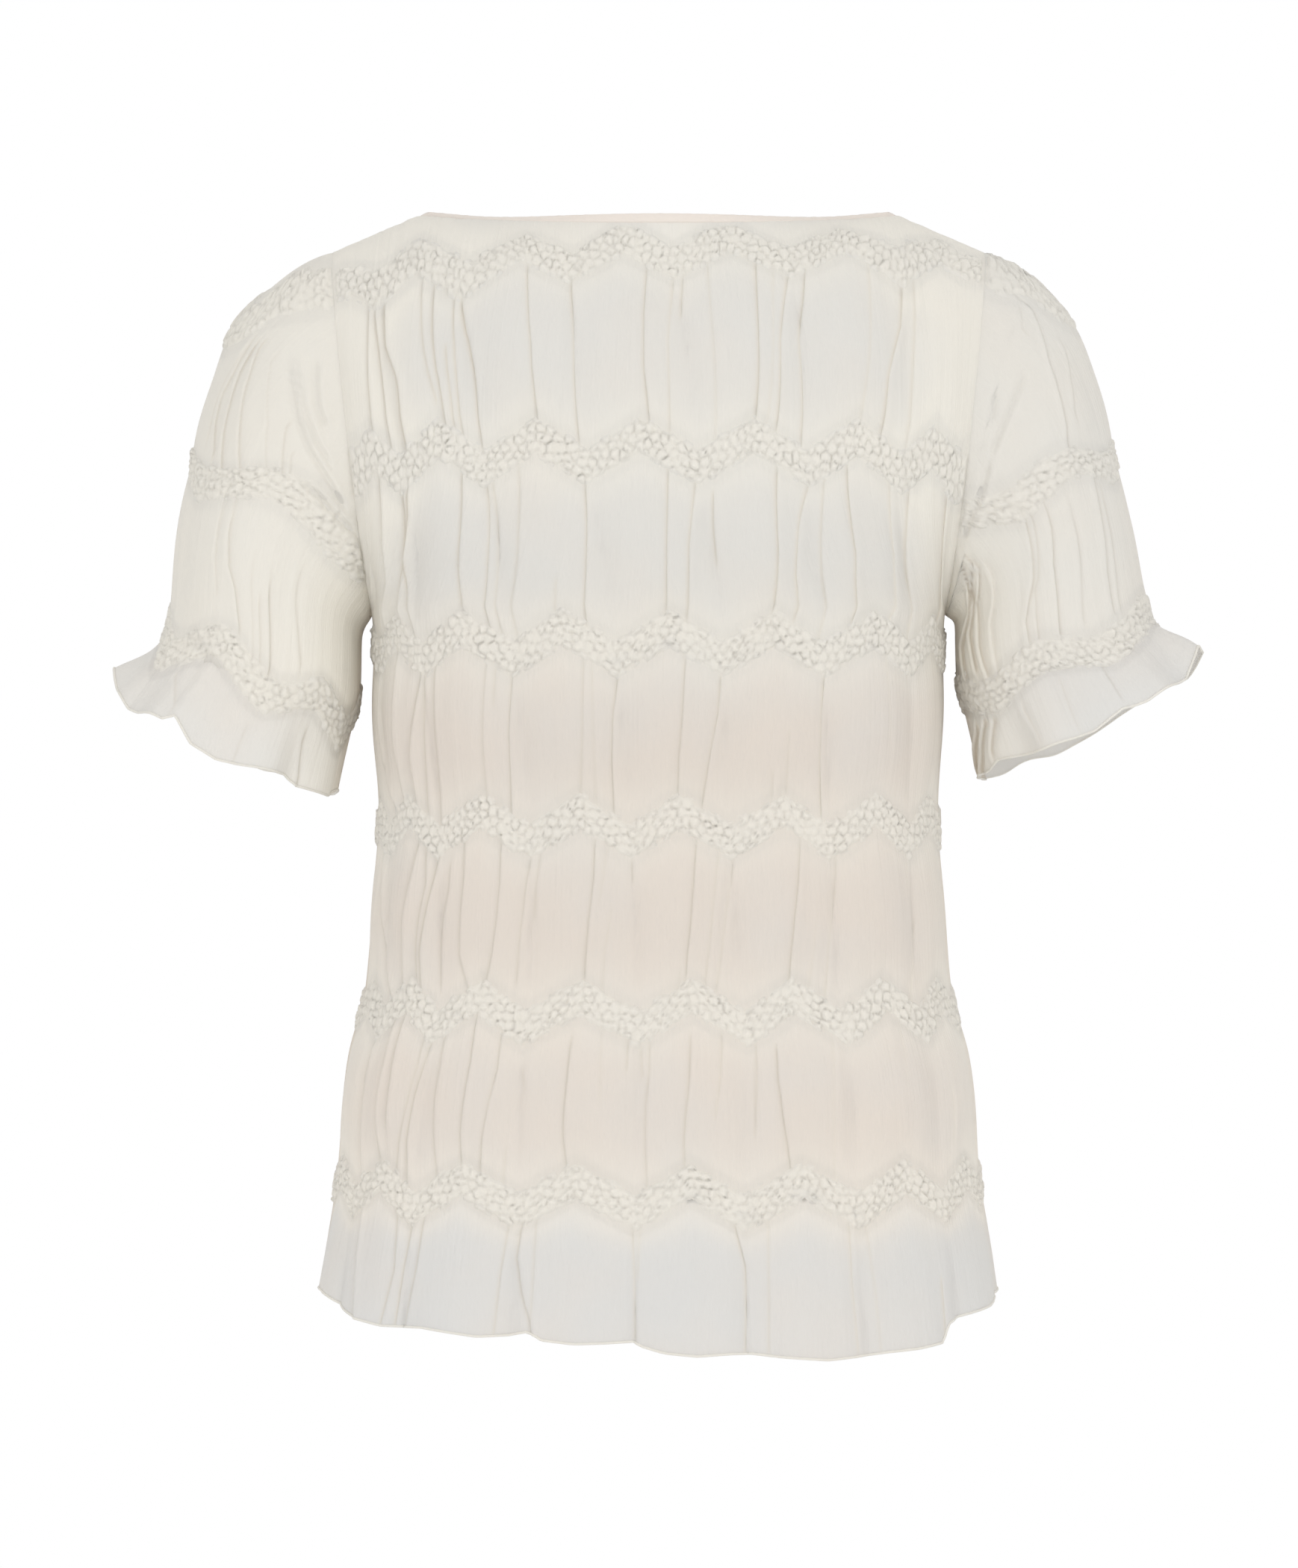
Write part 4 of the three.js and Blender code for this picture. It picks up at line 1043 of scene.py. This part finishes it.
def cell_relief(u, v, away):
    """Small rounded cells of gathered cloth over a flat layout in millimetres.

    away is how far a place lies from the middle of its band, where u and v run level and down.
    """
    i, j = np.floor(u / CELL_WIDE).astype(int), np.floor(v / CELL_TALL).astype(int)
    first_i, first_j = i.min() - 3, j.min() - 3
    shape = (i.max() - first_i + 4, j.max() - first_j + 4)
    off_u, off_v = chance.uniform(-0.36, 0.36, shape), chance.uniform(-0.36, 0.36, shape)
    high, reach = chance.uniform(0.4, 1, shape), chance.uniform(7.5, 12.5, shape)
    nearest, second = np.full(u.shape, 1e9), np.full(u.shape, 1e9)
    tall = np.zeros(u.shape)
    for di in (-2, -1, 0, 1):
        for dj in (-1, 0, 1):
            a, b = i + di - first_i, j + dj - first_j
            middle_u = (i + di + 0.5 + 0.5 * (b % 2) + off_u[a, b]) * CELL_WIDE
            middle_v = (j + dj + 0.5 + off_v[a, b]) * CELL_TALL
            gap = np.hypot(u - middle_u, 0.9 * (v - middle_v))
            closer = gap < nearest
            second = np.where(closer, nearest, np.minimum(second, gap))
            kept = ease((reach[a, b] - np.abs(away)) / 2.0)
            tall = np.where(closer, high[a, b] * kept, tall)
            nearest = np.minimum(nearest, gap)
    rim = np.clip((second - nearest) / CELL_GROOVE, 0, 1)
    return tall * rim * (2 - rim)


def band_height(face, away, dip, fade):
    """How far a band's face stands out from the cloth it lies in; dip is how low its middle runs."""
    line = face[face.shape[0] // 2]
    step = np.linalg.norm(np.diff(line, axis=0), axis=1)
    level = np.sqrt(np.maximum(step ** 2 - np.diff(dip) ** 2, 0.01))
    run = np.concatenate(((0,), np.cumsum(level)))
    cells = cell_relief(run + 0 * away, away + dip, away)
    body = ease((12.5 - np.abs(away)) / 4.5) * fade
    return body * (BAND_SUNK + CELL_HIGH * cells) - BAND_SUNK - BAND_BASE


def band_strip(face, normal, away, dip, fade):
    """A strip's grid: its lumpy face, a plain inner face hidden in the cloth, and each place's share of
    cream, which is partly painted light.
    """
    height = band_height(face, away, dip, fade)
    last = face.shape[0] - 1
    under = [last, 2 * last // 3, last // 3, 0]
    inner = face[under] - normal[under] * BAND_UNDER
    top = face + normal * height[..., None]
    tone = ease((11.5 - np.abs(away)) / 5)
    return np.concatenate((top, inner, top[:1])), np.concatenate((tone, 0 * tone[under], tone[:1]))


def strips_piece(name, strips, warm, cream_and_painted_light):
    """Strips joined in one piece."""
    bm, places, warmth, tones = bmesh.new(), [], [], []
    for (strip, tone), strip_warm in zip(strips, warm):
        one, column, row = grid_mesh(strip.shape[1] - 1, strip.shape[0] - 1)
        part = bpy.data.meshes.new("strip")
        one.to_mesh(part)
        one.free()
        bm.from_mesh(part)
        bpy.data.meshes.remove(part)
        places.append(strip[row, column])
        tones.append(mix(*cream_and_painted_light, tone[row, column]))
        warmth.append(np.full(len(row), strip_warm))
    values = {"warm": np.concatenate(warmth), "cream_and_painted_light": np.concatenate(tones)}
    piece = mesh_piece(name, bm, np.concatenate(places), values)
    close_up(piece.data, 80)
    return piece


def drop_at(panel, across, laid):
    """The drop of cloth that comes to lie at the given distances down the panel."""
    fine = np.linspace(0, HEM_DROP, 1600)
    drop = np.empty_like(laid)
    for j, one in enumerate(across[0]):
        lies = fine + wave_shift(panel, np.full_like(fine, one), fine)
        drop[:, j] = np.interp(laid[:, j], np.maximum.accumulate(lies), fine)
    return drop


def panel_bands(name, panel, lines, bands, columns, rows):
    strips, warm = [], []
    for middle in bands:
        across = np.linspace(-BAND_ACROSS, BAND_ACROSS, columns + 1) + np.zeros((rows + 1, 1))
        away = np.linspace(-BAND_REACH, BAND_REACH, rows + 1)[:, None] + 0 * across
        dip = wave_shift(panel, across[0], np.full(columns + 1, middle))
        laid = middle + dip + away
        face, normal, _ = panel_face(panel, lines, across, drop_at(panel, across, np.maximum(laid, 0)))
        fade = ease((laid - 1) / 3) * ease((BAND_ACROSS - np.abs(across)) / 0.01)
        strips.append(band_strip(face, normal, away, dip, fade))
        warm.append(0.7 * body_warmth(middle))
    return strips_piece(name, strips, warm, PANEL_BAND_CREAM_AND_PAINTED_LIGHT)


CAP_TURN = 33.0


def cap_strip(sleeve, table, lines, columns, rows):
    """The band over the cap, from the seam at the back over the top to the seam at the front."""
    away_column = np.linspace(-BAND_REACH, BAND_REACH, rows + 1)
    round_top = np.linspace(0, np.pi, columns + 1)
    reach = np.linspace(0, 3, 601)
    grid_round, grid_reach = np.meshgrid(round_top, reach, indexing="ij")
    turns, levels = CAP_TURN * grid_reach * np.cos(grid_round), CAP_LEVEL * grid_reach * np.sin(grid_round)
    run = runs_down(sleeve, turns, levels)
    dip = 0.4 * sleeve["wave"] * np.cos(6 * round_top)
    found = np.array([np.interp(away_column + dip[j], run[j], reach) for j in range(columns + 1)]).T
    turn, level = CAP_TURN * found * np.cos(round_top), CAP_LEVEL * found * np.sin(round_top)
    away = away_column[:, None] + 0 * turn
    face, normal, _ = sleeve_face(sleeve, table, lines, turn % 360, sleeve_share(table, turn, level))
    fade = ease((level - 0.004) / 0.012)
    return band_strip(face, normal, away, dip, fade)


def sleeve_bands(name, sleeve, table, lines, columns, rows):
    strips = [cap_strip(sleeve, table, lines, columns // 2, rows)]
    levels = np.linspace(0, 4, 801)
    every_turn = np.arange(-90, 271.0)
    grid_turn, grid_level = np.meshgrid(every_turn, levels, indexing="ij")
    runs = runs_down(sleeve, grid_turn, grid_level)
    away_column = np.linspace(-BAND_REACH, BAND_REACH, rows + 1)
    for band, target in enumerate(SLEEVE_BANDS):
        every_dip = sleeve_wave(sleeve, band, every_turn)
        want = target + every_dip + away_column[:, None]
        level = np.array([np.interp(want[:, j], runs[j], levels) for j in range(len(every_turn))]).T
        turn = np.linspace(every_turn[0], every_turn[-1], columns + 1) + np.zeros((rows + 1, 1))
        level = np.array([np.interp(turn[0], every_turn, one) for one in level])
        away = away_column[:, None] + 0 * turn
        face, normal, _ = sleeve_face(sleeve, table, lines, turn, sleeve_share(table, turn, level))
        dip = np.interp(turn[0], every_turn, every_dip)
        fade = ease((level - 0.02) / 0.03)
        strips.append(band_strip(face, normal, away, dip, fade))
    return strips_piece(name, strips, (0.2, 0.2, 0.2), sleeve["band_cream_and_painted_light"])


# ---------- edges ----------

HEM_RADIUS, HEM_SIDES = 0.7, 6
# The neck binding's cross-section, each as up and outward: its middle, half size and roundness.
BINDING_MIDDLE, BINDING_HALF, BINDING_ROUND = (3.1, -1.0), (3.0, 1.25), (0.6, 0.7)
BINDING_SIDES, BINDING_STEPS, BINDING_PUCKER = 14, 160, 0.12


def tube_along(name, line, radius, sides, closed):
    """A thin rolled edge along a line of places."""
    count = len(line)
    if closed:
        ahead, behind = np.roll(line, -1, axis=0), np.roll(line, 1, axis=0)
    else:
        ahead, behind = np.vstack((line[1:], line[-1:])), np.vstack((line[:1], line[:-1]))
    way = unit(ahead - behind)
    out = unit(np.cross(way, np.array((0.0, 0.0, 1.0)) + 0 * way))
    top = unit(np.cross(out, way))
    bm, column, row = grid_mesh(sides, count - (0 if closed else 1))
    angle = column / sides * 2 * np.pi
    at = row % count
    places = line[at] + radius * (out[at] * np.cos(angle)[:, None] + top[at] * np.sin(angle)[:, None])
    piece = mesh_piece(name, bm, places)
    close_up(piece.data, sides + 2)
    return piece


def rounded(wave, power):
    return np.sign(wave) * np.abs(wave) ** power


def binding_piece(name):
    """The narrow strip round the neck, a rounded band standing on the neck edge."""
    steps, sides = BINDING_STEPS, BINDING_SIDES
    feet, rises = [], []
    for panel in (BACK, FRONT):
        across = -panel["facing"] * NECK_SHARE * (2 * np.arange(steps) / steps - 1)
        reach = np.abs(across) / NECK_SHARE
        shoulder = points(-np.sign(across) * 0.9, 0 * across, 0.44 + 0 * across)
        rise = mix(-top_direction(panel, across), shoulder, (reach ** 3)[:, None])
        feet.append(top_edge(panel, across))
        rises.append(unit(rise))
    foot, rise = np.concatenate(feet), np.concatenate(rises)
    way = np.roll(foot, -1, axis=0) - np.roll(foot, 1, axis=0)
    out = unit(np.cross(way, rise))
    bm, column, row = grid_mesh(sides, 2 * steps)
    angle = column / sides * 2 * np.pi
    at = row % (2 * steps)
    up = BINDING_MIDDLE[0] + BINDING_HALF[0] * rounded(np.sin(angle), BINDING_ROUND[0])
    depth = BINDING_MIDDLE[1] + BINDING_HALF[1] * rounded(np.cos(angle), BINDING_ROUND[1])
    pucker = BINDING_PUCKER * np.sin(at * 1.7) * np.sin(at * 0.37)
    places = foot[at] + rise[at] * up[:, None] + out[at] * (depth + pucker)[:, None]
    piece = mesh_piece(name, bm, places)
    close_up(piece.data, sides + 2)
    return piece


# ---------- materials ----------

# How far creases are painted toward the shade colour, and the share of light that goes through the cloth.
CREASE_SHADE_SHARE, TRANSLUCENT = 0.26, 0.42
MOTTLE_SCALE, MOTTLE_GAIN, MOTTLE_SHIFT = 14, 1.2, -0.66
# Scales of the two reliefs, over the cloth and in space, and their strengths and depths.
STREAK_SCALE, STREAK_BUMP = (430, 8, 1), (0.3, 0.0012)
CRINKLE_SCALE, CRINKLE_BUMP = (900, 900, 260), (0.25, 0.0006)


def cloth_material(name, light, warm, cream_and_painted_light, deep, tan_shade):
    """Thin mottled cloth with fine streaks and a soft crinkle, with painted shade in its creases, tan
    painted shade where the side mark is set, and a cream mark that is partly painted light.
    """
    material = bpy.data.materials.new(name)
    material.use_nodes = True
    nodes, links = material.node_tree.nodes, material.node_tree.links
    shader = nodes["Principled BSDF"]
    shader.inputs["Roughness"].default_value = 0.8
    shader.inputs["Sheen Weight"].default_value = 0.25
    shader.inputs["Sheen Roughness"].default_value = 0.5
    shader.inputs["Specular IOR Level"].default_value = 0.25
    where = nodes.new("ShaderNodeTexCoord")

    def attribute(key):
        node = nodes.new("ShaderNodeAttribute")
        node.attribute_name = key
        return node.outputs["Fac"]

    def maths(operation, first, second):
        node = nodes.new("ShaderNodeMath")
        node.operation = operation
        links.new(first, node.inputs[0])
        node.inputs[1].default_value = second
        return node

    def toned(factor, colour):
        node = nodes.new("ShaderNodeMix")
        node.data_type = "RGBA"
        node.inputs["B"].default_value = colour
        links.new(factor, node.inputs["Factor"])
        return node

    def noise(vector, scale, detail):
        node = nodes.new("ShaderNodeTexNoise")
        node.inputs["Scale"].default_value = scale
        node.inputs["Detail"].default_value = detail
        links.new(vector, node.inputs["Vector"])
        return node.outputs["Fac"]

    def stretched(vector, scale):
        node = nodes.new("ShaderNodeMapping")
        node.inputs["Scale"].default_value = scale
        links.new(vector, node.inputs["Vector"])
        return node.outputs["Vector"]

    def bumped(height, strength, distance):
        node = nodes.new("ShaderNodeBump")
        node.inputs["Strength"].default_value = strength
        node.inputs["Distance"].default_value = distance
        links.new(height, node.inputs["Height"])
        return node

    mottle = maths("MULTIPLY_ADD", noise(where.outputs["Object"], MOTTLE_SCALE, 2), MOTTLE_GAIN)
    mottle.inputs[2].default_value = MOTTLE_SHIFT
    warmth = maths("ADD", attribute("warm"), 0)
    warmth.use_clamp = True
    links.new(mottle.outputs[0], warmth.inputs[1])
    tone = toned(warmth.outputs[0], warm)
    tone.inputs["A"].default_value = light
    # Cream, partly the cloth's own tone and partly painted light that lifts shaded places.
    creamed_and_lit = toned(attribute("cream_and_painted_light"), cream_and_painted_light)
    links.new(tone.outputs["Result"], creamed_and_lit.inputs["A"])
    # Painted shade: the creases darken toward the crease shade colour.
    crease_shaded = toned(maths("MULTIPLY", attribute("crease_shade"), CREASE_SHADE_SHARE).outputs[0], deep)
    links.new(creamed_and_lit.outputs["Result"], crease_shaded.inputs["A"])
    # Tan painted shade where the side mark is set.
    tan_shaded = toned(attribute("side"), tan_shade)
    links.new(crease_shaded.outputs["Result"], tan_shaded.inputs["A"])
    links.new(tan_shaded.outputs["Result"], shader.inputs["Base Color"])

    streaks = noise(stretched(where.outputs["UV"], STREAK_SCALE), 1, 2)
    crinkles = noise(stretched(where.outputs["Object"], CRINKLE_SCALE), 1, 3)
    bump = bumped(crinkles, *CRINKLE_BUMP)
    links.new(bumped(streaks, *STREAK_BUMP).outputs["Normal"], bump.inputs["Normal"])
    links.new(bump.outputs["Normal"], shader.inputs["Normal"])

    glow = nodes.new("ShaderNodeBsdfTranslucent")
    links.new(tan_shaded.outputs["Result"], glow.inputs["Color"])
    links.new(bump.outputs["Normal"], glow.inputs["Normal"])
    blend = nodes.new("ShaderNodeMixShader")
    blend.inputs["Fac"].default_value = TRANSLUCENT
    links.new(shader.outputs["BSDF"], blend.inputs[1])
    links.new(glow.outputs["BSDF"], blend.inputs[2])
    links.new(blend.outputs["Shader"], nodes["Material Output"].inputs["Surface"])
    return material


IVORY = (0.762, 0.755, 0.74, 1)
IVORY_WARM = (0.815, 0.762, 0.705, 1)
# The colour of the painted shade in the creases.
IVORY_CREASE_SHADE = (0.52, 0.44, 0.33, 1)
CREAM = (0.91, 0.885, 0.822, 1)
# The tan of the painted shade at the sides of the back and by the armpits.
TAN_SHADE = (0.62, 0.50, 0.36, 1)
BLUSH, BLUSH_WARM = (0.87, 0.82, 0.77, 1), (0.87, 0.80, 0.74, 1)
smocked_cloth = cloth_material("smocked_cloth", IVORY, IVORY_WARM, CREAM, IVORY_CREASE_SHADE, TAN_SHADE)
binding_cloth = cloth_material("binding_cloth", BLUSH, BLUSH_WARM, BLUSH, IVORY_CREASE_SHADE, TAN_SHADE)

# ---------- the top ----------

# Columns and rows of the pieces, and of a strip of their bands.
BACK_GRID, FRONT_GRID = (250, 196), (180, 140)
BACK_BAND_GRID, FRONT_BAND_GRID, SLEEVE_BAND_GRID = (500, 28), (320, 20), (330, 28)

back_lines, front_lines = pleat_lines(BACK), pleat_lines(FRONT)
left_table, right_table = sleeve_level_table(LEFT), sleeve_level_table(RIGHT)
left_lines, right_lines = sleeve_lines(LEFT, left_table), sleeve_lines(RIGHT, right_table)
back, back_places = panel_piece("back_cloth", BACK, back_lines, *BACK_GRID)
front, front_places = panel_piece("front_cloth", FRONT, front_lines, *FRONT_GRID)
left, left_places = sleeve_piece("sleeve_left_cloth", LEFT, left_table, left_lines)
right, right_places = sleeve_piece("sleeve_right_cloth", RIGHT, right_table, right_lines)
back_puffs = panel_bands("back_smocking", BACK, back_lines, BAND_DROPS, *BACK_BAND_GRID)
front_puffs = panel_bands("front_smocking", FRONT, front_lines, BAND_DROPS, *FRONT_BAND_GRID)
left_puffs = sleeve_bands("sleeve_left_smocking", LEFT, left_table, left_lines, *SLEEVE_BAND_GRID)
right_puffs = sleeve_bands("sleeve_right_smocking", RIGHT, right_table, right_lines, *SLEEVE_BAND_GRID)
binding = binding_piece("neck_strip")
back_hem = tube_along("back_rolled_hem", back_places[-1], HEM_RADIUS, HEM_SIDES, False)
front_hem = tube_along("front_rolled_hem", front_places[-1], HEM_RADIUS, HEM_SIDES, False)
left_hem = tube_along("sleeve_left_rolled_hem", left_places[-1][:-1], HEM_RADIUS, HEM_SIDES, True)
right_hem = tube_along("sleeve_right_rolled_hem", right_places[-1][:-1], HEM_RADIUS, HEM_SIDES, True)

cloth_pieces = (back, front, left, right, back_puffs, front_puffs, left_puffs, right_puffs,
                back_hem, front_hem, left_hem, right_hem)
for piece in cloth_pieces + (binding,):
    piece.data.materials.append(binding_cloth if piece is binding else smocked_cloth)
    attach(piece, "root")

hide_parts("back")
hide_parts("front")
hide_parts("sleeve_left")
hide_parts("sleeve_right")
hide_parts("neck_binding")

# ---------- floor, light and camera ----------

# The floor, and the place that the lights point at, in metres.
FLOOR_RADIUS, FLOOR_Z = 2.3, -1.15
LIT_PLACE = (0, 0, -0.3)

floor_bm = bmesh.new()
bmesh.ops.create_circle(floor_bm, cap_ends=True, segments=96, radius=FLOOR_RADIUS)
floor_mesh = bpy.data.meshes.new("floor")
floor_bm.to_mesh(floor_mesh)
floor_bm.free()
floor_mesh.transform(Matrix.Translation((0, 0, FLOOR_Z)))
floor = bpy.data.objects.new("floor", floor_mesh)
bpy.context.scene.collection.objects.link(floor)
pale = bpy.data.materials.new("pale_floor")
pale.use_nodes = True
pale.node_tree.nodes["Principled BSDF"].inputs["Base Color"].default_value = (0.85, 0.85, 0.84, 1)
pale.node_tree.nodes["Principled BSDF"].inputs["Roughness"].default_value = 0.9
floor_mesh.materials.append(pale)

world = bpy.data.worlds.new("studio")
world.use_nodes = True
world.node_tree.nodes["Background"].inputs["Color"].default_value = (1, 1, 1, 1)
world.node_tree.nodes["Background"].inputs["Strength"].default_value = 1.0
bpy.context.scene.world = world
bpy.context.scene.view_settings.view_transform = "Standard"


def area_light(name, place, target, size, power):
    light = bpy.data.lights.new(name, "AREA")
    light.shape = "DISK"
    light.size = size
    light.energy = power
    holder = bpy.data.objects.new(name, light)
    holder.location = place
    holder.rotation_euler = (Vector(target) - Vector(place)).to_track_quat("-Z", "Y").to_euler()
    bpy.context.scene.collection.objects.link(holder)


area_light("key", (1.9, -2.3, 0.9), LIT_PLACE, 1.4, 15)
area_light("fill", (-1.7, -2.5, -0.5), LIT_PLACE, 1.6, 11)
area_light("front", (-0.1, -3.1, -0.5), LIT_PLACE, 1.0, 10)

camera = bpy.data.cameras.new("camera")
camera.sensor_fit = "VERTICAL"
camera.angle = 2 * math.atan(VIEW_HEIGHT / 2 / -EYE[1])
camera.clip_end = 50
camera_holder = bpy.data.objects.new("camera", camera)
camera_holder.location = [value * MM for value in EYE]
camera_holder.rotation_euler = (math.radians(90), 0, 0)
bpy.context.scene.collection.objects.link(camera_holder)
bpy.context.scene.camera = camera_holder
